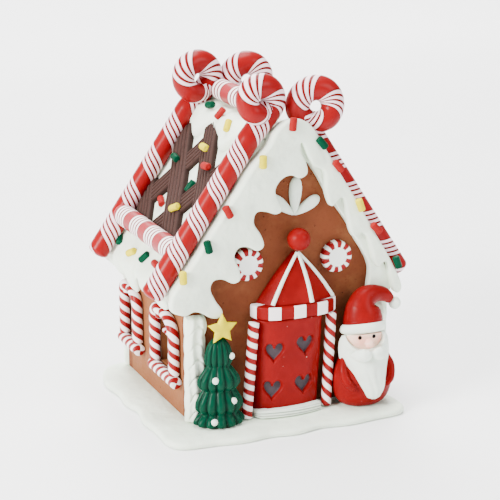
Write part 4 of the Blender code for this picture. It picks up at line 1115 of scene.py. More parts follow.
def rail_path(name):
    """Straight up the slope, then round a loop: a circle about its middle that tightens and
    comes forward in step with its angle, then sinks back into itself. Returns points and radii."""
    side, plane, end, (mx, mz), wind = RAILS[name][:5]
    sign, start = SIDES[side], -(math.pi / 2 - SLOPE[side])
    angle = start + np.radians(np.linspace(18, 352, 90))
    turn = (angle - start) / TAU
    r = LOOP_RADIUS * (1.04 - wind * turn)
    forward = plane + 2.6 - 9.0 * turn + 6.5 * smooth((turn - 0.72) / 0.26)
    loop = np.stack([mx - sign * r * np.cos(angle), forward,
                     mz - LOOP_SINK + r * np.sin(angle)], 1)
    straight = slope_point(side, np.linspace(end, 36.0, 60), 0.0, plane)
    path = curve(np.concatenate([straight, loop[::6], loop[-1:]]), 300)
    run = lengths(path)
    share = np.clip((run - lengths(straight)[-1]) / 30.0, 0, 1)
    tail = np.clip((run - run[-1] + 34.0) / 34.0, 0, 1)
    return path, sizes().rail / MM + LOOP_SWELL * smooth(share) - 1.6 * tail


class HOUSE_OT_rails(bpy.types.Operator):
    """Candy rails: tubes carried up each gable edge and curled at the top, striped in a spiral"""
    bl_idname = "house.rails"
    bl_label = "Candy rails"

    def execute(self, context):
        for name, (side, *rest) in RAILS.items():
            path, radius = rail_path(name)
            across = (0.0, -1.0, 0.0) if side == "left" else (0.0, 1.0, 0.0)
            rings, run = tube(path, radius, 40, across, (0.45, 0.7))
            along = run / (rest[-2] * sizes().stripe_rail / MM) + rest[-1]
            Skin().add(rings, along).piece("candy_rail_" + name, candy("rail"), ["rail_" + name],
                                           "candy_stripe")
        return {"FINISHED"}


class HOUSE_OT_rolls(bpy.types.Operator):
    """Candy rolls along the ridge and both eaves, striped straight round"""
    bl_idname = "house.rolls"
    bl_label = "Candy rolls"

    def execute(self, context):
        radius = sizes().rail / MM
        clear = radius + GAP
        places = {"ridge_roll": np.array([RIDGE_X, 0, RIDGE_TOP + clear]),
                  "eave_roll_left": slope_point("left", EAVE_S, GAP),
                  "eave_roll_right": slope_point("right", EAVE_S, GAP)}
        for node, middle in places.items():
            near = FRONT_RAIL_Y + (4.0 if node != "ridge_roll" else clear + 8.0)
            y = np.linspace(near, BACK_RAIL_Y - 4.0, 90)
            path = np.stack(np.broadcast_arrays(middle[0], y, middle[2]), -1)
            rings, run = tube(path, radius, 40, (1.0, 0.0, 0.0), (0.3, 0.3))
            repeat, begin = (1.19, 0.245) if node == "ridge_roll" else (1.0, 0.51)
            along = run / (repeat * sizes().stripe_roll / MM) + begin
            Skin().add(rings, along).piece("candy_" + node, candy("roll"), [node], "candy_stripe")
        return {"FINISHED"}


# ---------------------------------------------------------------- roof strips

STRIPS = (
    # ends as (distance down the slope, Y), width, height, lies on top
    ((37.5, 10), (84, -34), 13.5, 4.1, True),
    ((48, 40), (114, -26), 16.5, 4.3, True),
    ((88, 44), (118, 14), 15.0, 3.9, True),
    ((43, 2), (108, 43), 15.0, 3.2, False),
    ((52, -35), (112, 8), 14.5, 2.9, False),
    ((82, -45), (116, -20), 12.5, 2.6, False),
)


class HOUSE_OT_lattice(bpy.types.Operator):
    """Crossed strips on the roof: each is a flat bar with lengthwise ridges, whose height across
    is a row of rounded humps; the ends run under the rails, the roll and the ridge icing"""
    bl_idname = "house.lattice"
    bl_label = "Roof strips"

    def execute(self, context):
        ridges = sizes().strip_ridges
        for side in SIDES:
            skin = Skin()
            for k, (start, end, width, height, over) in enumerate(STRIPS):
                start, end = np.array(start, float), np.array(end, float)
                along = unit(end - start)
                across = np.array([-along[1], along[0]])
                t = np.linspace(-3.0, np.linalg.norm(end - start) + 3.0, 90)
                u = np.concatenate([[-0.5], np.linspace(-0.49, 0.49, 61), [0.5]])
                hump = abs(np.cos(math.pi * ridges * u)) ** 0.55
                edge = np.sqrt(np.clip(1 - (2 * abs(u)) ** 8, 0, 1))
                profile = edge * (0.72 + 0.28 * hump)
                profile[[0, -1]] = 0.0
                bend = 0.5 * np.sin(t / 17.0 + k)
                middle = start + along * t[:, None] + across * bend[:, None]
                place = middle[:, None] + across * (width * u)[None, :, None]
                s = np.clip(place[..., 0], 34.0, EAVE_S)
                y = np.clip(place[..., 1], FRONT_RAIL_Y + 1.0, BACK_RAIL_Y - 1.0)
                close = np.clip(np.minimum(t - t[0], t[-1] - t) / 3.5, 0, 1)
                profile = np.sqrt(1 - (1 - close[:, None]) ** 2) * profile[None]
                lift = height * profile + 0.25 * np.sin(t / 9.0 + k)[:, None] * profile
                rows = slope_point(side, s, -ROOF_DROP + 0.1 + lift, y)
                # mark is the ridge height, where the chocolate finish paints its highlight.
                mark = np.broadcast_to(hump * edge, rows.shape[:2])
                skin.add(rows, t / 10.0, mark, cap="face")
            skin.piece("strips_" + side, chocolate(), ["lattice_" + side], "chocolate")
        return {"FINISHED"}


# ---------------------------------------------------------------- gable trim

MINTS = {"mint_left": (-25.7, 95.3, 0.15), "mint_right": (31.2, 93.6, 0.4)}
MINT_RADIUS, MINT_THICK = 9.6, 4.2
PETAL_TIP = np.array([4.2, 121.3])
PETALS = ((50.0, 9.0, 19.4), (-3.0, 10.0, 22.6), (-60.0, 9.0, 18.6))


class HOUSE_OT_mints(bpy.types.Operator):
    """Round mints: a disc turned from a profile with a rounded rim and a slightly hollow face"""
    bl_idname = "house.mints"
    bl_label = "Mints"

    def execute(self, context):
        profile = curve([(1.0, 0.0), (1.0, 0.35), (0.995, 0.6), (0.95, 0.86), (0.86, 0.99),
                         (0.72, 1.0), (0.5, 0.97), (0.25, 0.95), (0.02, 0.95)], 44)
        turn = TAU * np.arange(96) / 96
        for node, (x, z, shift) in MINTS.items():
            ripple = 1 + 0.006 * np.sin(5 * turn + x)
            r = MINT_RADIUS * profile[:, :1] * ripple
            rows = np.stack([x + r * np.cos(turn), -FACE - MINT_THICK * profile[:, 1:] + 0 * r,
                             z + r * np.sin(turn)], -1)
            Skin().add(rows, profile[:, 0], shift=shift).piece("candy_" + node, mint_candy(), [node],
                                                               "mint_candy")
        return {"FINISHED"}


class HOUSE_OT_petals(bpy.types.Operator):
    """Three piped petals from one tip: pointed ovals whose outline shrinks towards its middle
    line while the height rises as a flattened dome"""
    bl_idname = "house.petals"
    bl_label = "Icing petals"

    def execute(self, context):
        skin = Skin()
        a = TAU * np.arange(72) / 72
        for k, (turn, width, long) in enumerate(PETALS):
            c, s = math.cos(math.radians(turn)), math.sin(math.radians(turn))
            v = 0.5 * long * (1 - np.cos(a))
            u = 0.5 * width * np.sin(a) * (0.42 + 0.62 * (v / long))
            rise = 3.1 + 0.5 * (k == 1)
            rows = []
            for q in np.linspace(0, math.pi / 2, 14):
                share, high = math.cos(q), math.sin(q) ** 0.8
                vv = 0.5 * long + (v - 0.5 * long) * (0.25 + 0.75 * share)
                uu = u * share
                x = PETAL_TIP[0] - s * vv + c * uu
                z = PETAL_TIP[1] + c * vv + s * uu
                rows.append(np.stack([x, -FACE - rise * high + 0 * x, z], -1))
            skin.add(np.array(rows))
        skin.piece("petals", white_clay(), ["icing_petals"], "snow_icing")
        return {"FINISHED"}


# ---------------------------------------------------------------- door

DOOR_X, DOOR_LEAN = -3.4, 3.0 / 58.0
DOOR_HALF, DOOR_DEPTH, DOOR_TOP, DOOR_POWER = 21.3, 14.0, 62.7, 2.8
HEARTS = ((-11.9, 43.8), (7.9, 46.2), (-12.0, 20.8), (8.0, 22.2))
HEART_SIZE, HEART_DEPTH = 12.6, 2.8
BAND_X, BAND_HALF, BAND_DEPTH, BAND_HEIGHT = 3.2, 26.2, 14.9, 7.8
BAND_SQUARES = ((3.6, 6.6), (18.2, 7.4), (33.6, 7.6), (48.6, 7.4), (61.5, 6.2))
COLUMN_RADIUS = 3.1
COLUMNS = {
    "door_column_left": ((-30.0, -61.6), (-24.6, -59.6)),
    "door_column_right": ((21.4, -61.0), (24.9, -59.6)),
}
CONE_FOOT = np.array([(-19.6, -51.2), (-13.6, -61.4), (9.9, -64.4), (26.6, -57.6), (27.0, -51.2)])
CONE_APEX = np.array([4.0, -56.8, 100.4])
BALL_RADIUS = 6.7
BALL_CENTRE = (4.2, -58.2, 108.4)
RIB_WIDTH = 2.0
STEP_HEIGHT = 5.0


def bow(half, depth, count, grow=0.0):
    """Plan of a rounded front: half a superellipse from the left foot to the right foot, with
    points at equal distances."""
    a = np.linspace(0, math.pi, count * 8)
    c, s = -np.cos(a), np.sin(a)
    reach = (abs(c) ** DOOR_POWER + abs(s) ** DOOR_POWER) ** (-1 / DOOR_POWER)
    return even(np.stack([(half + grow) * reach * c, -FACE - (depth + grow) * reach * s], 1), count)


def heart(size, steps=90):
    """Heart outline about its middle: sine cubed across, four cosines up."""
    t = TAU * np.arange(steps) / steps
    x = 16 * np.sin(t) ** 3
    z = 13 * np.cos(t) - 5 * np.cos(2 * t) - 2 * np.cos(3 * t) - np.cos(4 * t)
    return np.stack([x, 1.12 * z], 1) * size / 32


def lean_x(z):
    return DOOR_X + DOOR_LEAN * (z - FOOT)


class HOUSE_OT_door(bpy.types.Operator):
    """Bowed door: a grid round the bow and up the door, pressed inwards by a smooth step of the
    distance from four heart outlines"""
    bl_idname = "house.door"
    bl_label = "Door"

    def execute(self, context):
        columns, rows = 230, 200
        plan = bow(DOOR_HALF, DOOR_DEPTH, columns)
        run = lengths(plan)
        z = np.linspace(FOOT, DOOR_TOP, rows)
        out = unit(np.stack([-np.gradient(plan[:, 1]), np.gradient(plan[:, 0])], 1)) * -1
        arc, up = np.meshgrid(run, z)
        press = np.zeros(arc.shape)
        for x, height in HEARTS:
            place = np.interp(x, plan[:, 0], run)
            near = (abs(arc - place) < HEART_SIZE) & (abs(up - height) < HEART_SIZE)
            points = np.stack([arc[near] - place, up[near] - height], 1)
            press[near] = smooth((loop_distance(points, heart(HEART_SIZE)) + 0.3) / 1.7)
        end = np.minimum(np.minimum(z - FOOT, DOOR_TOP - z) / 1.2, 1.0)
        ease = 1.2 * (1 - np.sqrt(1 - (1 - end) ** 2))
        depth = -press * HEART_DEPTH - ease[:, None] + 0.3 * wobble(
            np.stack([arc, 0 * arc, up], -1), 30.0, 5)
        x = plan[:, 0] + out[:, 0] * depth + lean_x(up)
        y = plan[:, 1] + out[:, 1] * depth
        front = np.stack([x, np.minimum(y, -FACE), up], -1)
        Skin().add(front, z, press, cap="face").piece("clay_door", door_clay(), ["door"], "red_clay",
                                                      sharp=60)
        return {"FINISHED"}


class HOUSE_OT_door_trim(bpy.types.Operator):
    """Band with white squares, twisted columns and the grooved step"""
    bl_idname = "house.door_trim"
    bl_label = "Door trim"

    def execute(self, context):
        low = DOOR_TOP + GAP
        plan = bow(BAND_HALF, BAND_DEPTH, 260)
        run = lengths(plan)
        out = unit(np.stack([-np.gradient(plan[:, 1]), np.gradient(plan[:, 0])], 1)) * -1
        q = np.linspace(0, 1, 44)
        round_edge = 1 - np.minimum(np.minimum(q, 1 - q) / 0.12, 1.0)
        ease = 0.9 * (1 - np.sqrt(1 - round_edge ** 2))
        square = np.zeros(len(run))
        for place, width in BAND_SQUARES:
            square = np.maximum(square, smooth((0.5 * width - abs(run - place)) / 0.45 + 0.5))
        wave = 0.25 * np.sin(run / 6.0)
        depth = 0.5 * square[None] - ease[:, None] - 0.15
        x = plan[:, 0] + out[:, 0] * depth + BAND_X
        y = np.minimum(plan[:, 1] + out[:, 1] * depth, -FACE)
        z = low + q[:, None] * BAND_HEIGHT + 0 * x + wave * 0.0
        rows = np.stack([x, y, z], -1)
        mark = np.broadcast_to(square, x.shape)
        Skin().add(rows, q, mark, cap="face").piece("clay_band", band_clay(), ["door_band"],
                                                    "red_clay", sharp=50)
        for node, (foot, head) in COLUMNS.items():
            path = curve([(*foot, FOOT + 0.8), (*head, DOOR_TOP - 0.4)], 90)
            rings, along = tube(path, COLUMN_RADIUS, 28, (0.0, 1.0, 0.0), (0.25, 0.1))
            kind, share = ("slow_cane", 0.9) if node.endswith("left") else ("cane", 1.07)
            Skin().add(rings, along / (share * sizes().stripe_cane / MM) + 0.2).piece(
                "candy_" + node, candy(kind), [node], "candy_stripe")
        self.step()
        return {"FINISHED"}

    def step(self):
        """A bar along X from the door's bow out to a slightly bowed front, with a rounded section
        whose front and top carry thin lengthwise grooves: bell curves at even steps round it."""
        t = np.linspace(0, 1, 170)[:, None]
        x = -25.0 + 42.6 * t
        share = np.clip(abs(x - lean_x(FOOT)) / DOOR_HALF, 0, 1)
        back = -FACE - DOOR_DEPTH * (1 - share**DOOR_POWER) ** (1 / DOOR_POWER) - 0.6
        front = -66.2 - 3.2 * np.sin(math.pi * t)
        back = np.minimum(np.maximum(back, front + 5.5 + 2.0 * np.sin(math.pi * t)), -57.0)
        section = curve([(0.0, 0.0), (0.6, 0.0), (0.93, 0.02), (1.0, 0.16), (1.0, 0.5), (0.98, 0.8),
                         (0.9, 0.97), (0.5, 1.0), (0.15, 0.98), (0.0, 0.9)], 130)
        q, high = section.T[:, None]
        faced = smooth((q - 0.9) / 0.06) * smooth((0.95 - high) / 0.08)
        groove = -0.9 * np.exp(-(np.sin(math.pi * (3.0 * high + 0.4 * t)) / 0.5) ** 2) * faced
        topped = smooth((high - 0.9) / 0.06) * smooth((0.85 - q) / 0.1)
        streak = -0.7 * np.exp(-(np.sin(math.pi * (3.0 * q + 0.7 * t)) / 0.45) ** 2) * topped
        end = np.clip(1 - (2 * abs(t - 0.5)) ** 14, 0.02, 1) ** 0.5
        y = back + (q * (0.25 + 0.75 * end) + groove / 7.0) * (front - back)
        z = FOOT + (STEP_HEIGHT - 0.2) * high * (0.45 + 0.55 * end) + streak
        rows = np.stack(np.broadcast_arrays(x, y, np.maximum(z, FOOT)), -1)
        # Painted shade for the grooves and streaks, carried by mark to the white clay.
        painted_groove_shade = np.broadcast_to(np.clip(-groove / 0.9 - streak / 0.7, 0, 1), rows.shape[:2])
        Skin().add(rows, mark=painted_groove_shade, cap="face").piece("clay_step", white_clay(), ["door_step"], "snow_icing")


def hip(foot, t):
    """Points up one hip of the door roof: a straight line that bulges outwards by a half sine."""
    low = DOOR_TOP + BAND_HEIGHT + 2 * GAP
    start = np.array([foot[0], foot[1], low])
    out = np.array([foot[0] - CONE_APEX[0], foot[1] + FACE, 0.0])
    size = np.linalg.norm(out) + 1e-9
    t = np.asarray(t, float)[:, None]
    swell = 1.2
    return start + (CONE_APEX - start) * t + out / size * swell * np.sin(math.pi * t)


class HOUSE_OT_door_roof(bpy.types.Operator):
    """Door roof: facets between five hips that meet under a ball, with three white ribs"""
    bl_idname = "house.door_roof"
    bl_label = "Door roof"

    def execute(self, context):
        t = np.linspace(0, 0.975, 60)
        hips = np.stack([hip(foot, t) for foot in CONE_FOOT], 1)
        back = hips[:, [0, -1]].copy()
        back[..., 1] = -FACE
        ring = np.concatenate([hips, back[:, ::-1]], 1)
        rows = fillet(ring, [0.5, 1.4, 1.4, 1.4, 0.5, 0.3, 0.3], 5)
        rows[..., 1] = np.minimum(rows[..., 1], -FACE)
        Skin().add(rows, t, cap="face").piece("clay_door_roof", red_clay(), ["door_cone"], "red_clay",
                                              sharp=35)
        skin = Skin()
        for foot in CONE_FOOT[1:4]:
            path = hip(foot, np.linspace(0.02, 0.99, 50))
            out = np.array([foot[0] - CONE_APEX[0], foot[1] + FACE, 0.0])
            tangent = unit(np.gradient(path, axis=0))
            across = unit(np.cross(tangent, out))
            lift = np.cross(across, tangent)
            a = TAU * np.arange(24) / 24
            c, s = np.cos(a), np.sin(a)
            reach = (abs(c) ** 4 + abs(s) ** 4) ** -0.25
            half = 0.5 * RIB_WIDTH * np.linspace(1.08, 0.8, 50)[:, None, None]
            ring = (c * reach)[None, :, None] * across[:, None] + (s * reach)[None, :, None] * lift[:, None]
            skin.add(path[:, None] + half * ring + lift[:, None] * 0.4)
        skin.piece("ribs_door_roof", white_clay(), ["door_cone_ribs"], "snow_icing", sharp=40)
        ball = globe(BALL_CENTRE, BALL_RADIUS, 26, 40)
        ball += 0.10 * wobble(ball, 9.0, 6)[..., None] * unit(ball - np.array(BALL_CENTRE))
        Skin().add(ball).piece("clay_ball", red_clay(), ["door_ball"], "red_clay")
        return {"FINISHED"}


# ---------------------------------------------------------------- tree

TREE_X, TREE_Y, TREE_BACK, TREE_DEPTH = -47.1, -60.2, -57.9, 0.78
TREE_PROFILE = (
    (56.6, 0.6), (56.0, 3.2), (52.6, 6.4), (47.5, 8.2), (43.4, 8.6), (41.2, 7.8), (40.4, 7.2),
    (37.0, 9.8), (32.6, 12.6), (29.0, 12.9), (27.0, 11.2), (26.2, 10.2),
    (23.0, 12.0), (18.6, 14.2), (15.0, 14.3), (13.0, 12.6), (12.2, 11.9),
    (9.4, 14.4), (7.2, 15.6), (5.6, 15.4), (FOOT, 13.6),
)
TREE_DOTS = ((-40.7, 45.6), (-52.0, 33.2), (-41.4, 19.9), (-53.4, 8.7))
STAR_CENTRE = (-45.8, -63.1, 62.3)
STAR_OUTER, STAR_THICK = 9.5, 4.0


def tree_surface(turn, z):
    """The tree's skin at a turn round its axis and a height: the profile's radius there, with
    the tiers' edges scalloped and rounded flutes cut between the ribs."""
    profile = curve(TREE_PROFILE, 400)[::-1]
    flute = abs(np.sin(0.5 * sizes().flutes * turn + 0.35)) ** 0.85
    height = np.clip(z + 1.1 * (flute - 0.6) * smooth((z - FOOT) / 4.0), FOOT, 56.6)
    radius = np.interp(height, profile[:, 0], profile[:, 1]) * (0.83 + 0.17 * flute)
    x = TREE_X + radius * np.cos(turn)
    y = TREE_Y + TREE_DEPTH * radius * np.sin(turn)
    # The second value is how far into a flute hollow a point lies, used for painted shade.
    return np.stack([x, np.minimum(y, TREE_BACK), z + 0 * x], -1), 1 - flute


class HOUSE_OT_tree(bpy.types.Operator):
    """Fluted tree in four scalloped tiers, with white dots and a puffed star"""
    bl_idname = "house.tree"
    bl_label = "Tree"

    def execute(self, context):
        turn = TAU * np.arange(240)[None] / 240
        z = np.concatenate([np.linspace(FOOT, 55.6, 170), np.linspace(55.75, 56.6, 6)])[:, None]
        rows, hollow = tree_surface(turn, z)
        # mark holds how far into a flute hollow each point lies; the tree finish paints shade there.
        Skin().add(rows, mark=hollow + 0 * z).piece("clay_tree", tree_green(), ["tree"], "tree_green")
        skin = Skin()
        for x, height in TREE_DOTS:
            a = np.linspace(-math.pi, 0, 400)
            skinline, _ = tree_surface(a, np.full(400, height))
            where = skinline[np.argmin(abs(skinline[:, 0] - x))]
            skin.add(globe(where + np.array([0, 0.2, 0]), 2.1, 10, 18, (1, 0.8, 1)))
        skin.piece("tree_dots", white_clay(), slot="snow_icing")
        self.star()
        return {"FINISHED"}

    def star(self):
        """Rings of a rounded five-pointed outline: radius falls from the points to the hollows by
        a cosine, and the thickness swells towards the middle."""
        a = TAU * np.arange(150) / 150
        fold = abs(((a / TAU * 5 + 0.5) % 1.0) - 0.5) * 2
        radius = STAR_OUTER / (1 + 1.02 * fold ** 0.85)
        rows = []
        for q in np.linspace(-0.5, 0.5, 22) * math.pi:
            share = math.cos(q) ** 0.45 if abs(q) < math.pi / 2 - 1e-6 else 0.02
            swell = math.sin(q) * 0.5 * STAR_THICK
            x = STAR_CENTRE[0] + radius * share * np.sin(a)
            z = STAR_CENTRE[2] + radius * share * np.cos(a)
            rows.append(np.stack([x, STAR_CENTRE[1] - swell + 0 * x, z], -1))
        Skin().add(np.array(rows)).piece("clay_star", plain_clay("yellow"), ["tree_star"],
                                         "yellow_clay")


# ---------------------------------------------------------------- Santa figure

SANTA_X, SANTA_Y, SANTA_BACK = 43.9, -63.6, -57.7
SANTA_BODY = (
    (FOOT, 10.5, 7.4), (FOOT + 0.8, 13.0, 9.0), (8.5, 16.0, 11.0), (13, 18.0, 12.0), (18, 18.6, 12.2),
    (27, 17.8, 11.8), (34.4, 14.2, 9.9), (36.4, 11.0, 7.8),
)
HEAD_LEVELS = ((36.8, 7.0, 6.4), (39, 10.4, 9.4), (43, 12.2, 10.8), (47.6, 12.4, 11.0))
BEARD_LEVELS = (
    (9.8, 3.8, 12.8), (10.8, 6.2, 14.6), (12.6, 7.9, 15.6), (19, 10.6, 17.5), (28, 13.2, 17.5),
    (38, 15.5, 15.6), (44.5, 15.0, 13.8), (47.6, 13.4, 12.6),
)
BAND_LEVELS = ((48.4, 11.4, 10.4), (48.9, 12.8, 11.6), (50.0, 13.8, 12.4), (51.4, 14.0, 12.6),
               (52.8, 13.6, 12.2), (54.2, 12.4, 11.2), (54.6, 11.4, 10.4))
HAT_TILT = 0.27
HAT_SPINE = (
    (43.9, 53.6, 12.2), (43.7, 59, 11.5), (44.0, 64, 10.2), (45.6, 68.2, 8.2), (49.4, 70.4, 6.4),
    (54, 70.6, 5.0), (58.6, 69.2, 4.2), (62.6, 66.0, 3.0),
)
POMPOM_RADIUS = 3.7
EYES = ((37.3, 48.6, 1.3), (45.6, 48.9, 1.2))


def face_place(x, z, levels=HEAD_LEVELS):
    """The head's front surface at x and z, before its tilt is taken away."""
    levels = curve(levels, 200)
    for _ in range(3):
        half = np.interp(z, levels[:, 0], levels[:, 1])
        deep = np.interp(z, levels[:, 0], levels[:, 2])
        y = SANTA_Y - deep * math.sqrt(max(1 - ((x - SANTA_X) / half) ** 2, 0.0))
    return np.array([x, y, z + HAT_TILT * min(max((z - 38.0) / 9.0, 0), 1) * (SANTA_Y - y)])


class HOUSE_OT_santa(bpy.types.Operator):
    """Folk Santa: egg-shaped body, head with dot eyes, bib beard with a hollow for the face,
    two-lobed moustache, ball nose, hat band, folded hat and pompom"""
    bl_idname = "house.santa"
    bl_label = "Santa figure"

    def execute(self, context):
        centre = (SANTA_X, SANTA_Y)
        coat = Skin().add(oval_rows(SANTA_BODY, centre, 120, 90, SANTA_BACK))
        for sign in (-1.0, 1.0):
            arm = curve([(SANTA_X + sign * 14.0, SANTA_Y - 3.0, 34.0),
                         (SANTA_X + sign * 15.6, SANTA_Y - 6.0, 28.0),
                         (SANTA_X + sign * 14.2, SANTA_Y - 9.0, 21.5),
                         (SANTA_X + sign * 11.0, SANTA_Y - 10.8, 18.0)], 60)
            radius = np.interp(np.linspace(0, 1, 60), [0, 0.4, 0.8, 1], [1.8, 2.6, 2.6, 1.8])
            coat.add(tube(arm, radius, 26, (1.0, 0.0, 0.0), (0.8, 0.8))[0])
        coat.piece("santa_coat", red_clay(), ["santa_body"], "red_clay")
        head = oval_rows(HEAD_LEVELS, centre, 120, 50, SANTA_BACK, HAT_TILT, 38.0)
        cheek = np.exp(-((abs(head[..., 0] - SANTA_X) - 6.5) / 3.2) ** 2
                       - ((head[..., 2] - 46.0) / 3.5) ** 2)
        Skin().add(head, mark=cheek).piece("santa_head", skin_clay(), ["santa_face"], "skin_clay")
        self.eyes()
        nose = (SANTA_X - 2.9, SANTA_Y - 14.0, 46.0)
        Skin().add(globe(nose, 2.8, 20, 30, (1, 1, 1.05)), mark=0.95).piece(
            "santa_ball_nose", skin_clay(), ["santa_nose"], "skin_clay")
        self.beard()
        self.moustache()
        band = oval_rows(BAND_LEVELS, centre, 140, 40, SANTA_BACK, HAT_TILT)
        out = unit(band - band.mean(1, keepdims=True))
        band += out * (0.22 * wobble(band, 7.0, 8))[..., None]
        Skin().add(band).piece("santa_cuff", white_clay(), ["santa_hat_band"], "snow_icing")
        self.hat()
        return {"FINISHED"}

    def eyes(self):
        skin = Skin()
        for x, z, radius in EYES:
            head = face_place(x, 47.0)
            place = np.array([x, head[1] - 0.1, z])
            skin.add(globe(place, radius, 12, 20, (1, 0.55, 1)))
        skin.piece("santa_eyes", plain_clay("black"))

    def beard(self):
        """Half ovals on a smooth curve of heights, pressed in where the face looks out and
        grooved by faint strands that fan out from the nose."""
        levels = curve(BEARD_LEVELS, 130)
        a = np.linspace(0, math.pi, 110)[None]
        z, half, deep = (levels[:, k:k + 1] for k in range(3))
        strand = 0.22 * np.sin(a * 17 + 1.5 * np.sin(z / 6.0)) * smooth((36.0 - z) / 14.0)
        middle = SANTA_X + 2.2 * smooth((30.0 - z) / 18.0)
        x = middle + (half + strand) * np.cos(a)
        y = SANTA_Y + 1.0 - (deep + strand) * np.sin(a) ** 0.8
        rise = HAT_TILT * np.clip((z - 38) / 9, 0, 1) * deep * np.sin(a)
        reach = np.hypot((x - SANTA_X + 2.2) / 10.6, (z + rise - 47.6) / np.where(z + rise > 47.6, 9, 7.0))
        hollow = smooth((1.06 - reach) / 0.16)
        y = y + 5.4 * hollow
        rows = np.stack([x, np.minimum(y, SANTA_Y + 1.0), z + rise + 0 * x], -1)
        Skin().add(rows, cap="face").piece("santa_bib_beard", white_clay(), ["santa_beard"],
                                           "snow_icing")

    def moustache(self):
        """Two drops swept outwards and down from under the nose."""
        skin = Skin()
        for sign in (-1.0, 1.0):
            t = np.linspace(0, 1, 40)
            x = SANTA_X - 2.4 + sign * (0.4 + (11.4 if sign > 0 else 10.6) * t)
            y = SANTA_Y - 16.9 + 4.6 * t * t
            z = 40.8 - 3.2 * t + 1.9 * t * t
            radius = np.interp(t, [0, 0.12, 0.4, 0.7, 0.92, 1], [1.5, 2.9, 4.0, 3.6, 2.2, 1.1])
            rings, run = tube(np.stack([x, y, z], 1), radius, 28, (0.0, 1.0, 0.0), (0.5, 0.8), 0.8)
            skin.add(rings, run)
        skin.piece("santa_whiskers", white_clay(), ["santa_moustache"], "snow_icing")

    def hat(self):
        """Ovals carried along a spine that leans over to the right; the first ones keep the tilt
        of the band. The fold sinks in under the bend."""
        spine = curve([(x, z, r) for x, z, r in HAT_SPINE], 100)
        tangent = unit(np.gradient(spine[:, :2], axis=0))
        tangent[:8] = unit(tangent[:8] * 0.3 + np.array([0.0, 0.7]))
        across = np.stack([tangent[:, 1], -tangent[:, 0]], 1)
        t = np.linspace(0, 1, 100)
        middle = SANTA_Y + 1.75 * smooth(t)
        lean = HAT_TILT * np.clip(1 - t / 0.42, 0, 1)
        a = TAU * np.arange(90)[None] / 90
        wrinkle = 1 - 0.05 * np.exp(-((t[:, None] - 0.52) / 0.08) ** 2) * (1 + np.cos(a))
        u = spine[:, 2:] * np.cos(a) * wrinkle
        v = 0.9 * spine[:, 2:] * np.sin(a) * wrinkle
        rows = np.stack([spine[:, :1] + across[:, :1] * u, middle[:, None] + v,
                         spine[:, 1:2] + across[:, 1:] * u - lean[:, None] * v], -1)
        Skin().add(rows).piece("santa_cap", red_clay(), ["santa_hat"], "red_clay")
        end = HAT_SPINE[-1]
        pompom = globe((end[0] + 3.2, SANTA_Y + 1.75, end[1] - 2.9), POMPOM_RADIUS, 20, 30)
        centre = pompom.mean((0, 1))
        pompom += 0.12 * wobble(pompom, 4.0, 12)[..., None] * unit(pompom - centre)
        Skin().add(pompom).piece("santa_bobble", white_clay(), ["santa_pompom"], "snow_icing")


# ---------------------------------------------------------------- windows

WINDOWS = {"back": (46.6, 23.4), "front": (-7.6, -38.6)}
CANE_FOOT, SILL_Z, SILL_RADIUS = 29.2, 25.3, 3.6
HOLE_INSET, HOLE_FOOT, HOLE_SPRING, HOLE_RISE = 1.2, 28.2, 52.0, 0.8
CROSS_RADIUS, CROSS_INSET, CROSS_Z = 2.0, 2.4, 47.0


def cane_paths(near, far, radius):
    """The back cane with a tight hook and the front cane with a wide one, as (Y, height): a post
    and a quarter or more of an oval."""
    span = near - far
    tight = 0.17 * span + 0.5
    wide = span - 2 * tight - radius - 0.5
    spring_tight = 57.0 - 0.05 * (30 - span)
    spring_wide = 51.0 + 0.10 * (31 - span)
    a = np.radians(np.linspace(8, 156, 24))
    back = np.stack([near - tight * (1 - np.cos(a)), spring_tight + tight * np.sin(a)], 1)
    rise = spring_tight + tight - spring_wide
    a = np.radians(np.linspace(4, 90, 24))
    front = np.stack([far + wide * (1 - np.cos(a)), spring_wide + rise * np.sin(a)], 1)
    posts = [np.stack([np.full(12, y), np.linspace(CANE_FOOT, top, 12)], 1)
             for y, top in ((near, spring_tight), (far, spring_wide))]
    return [even(np.concatenate(pair), 130) for pair in ((posts[0], back), (posts[1], front))]


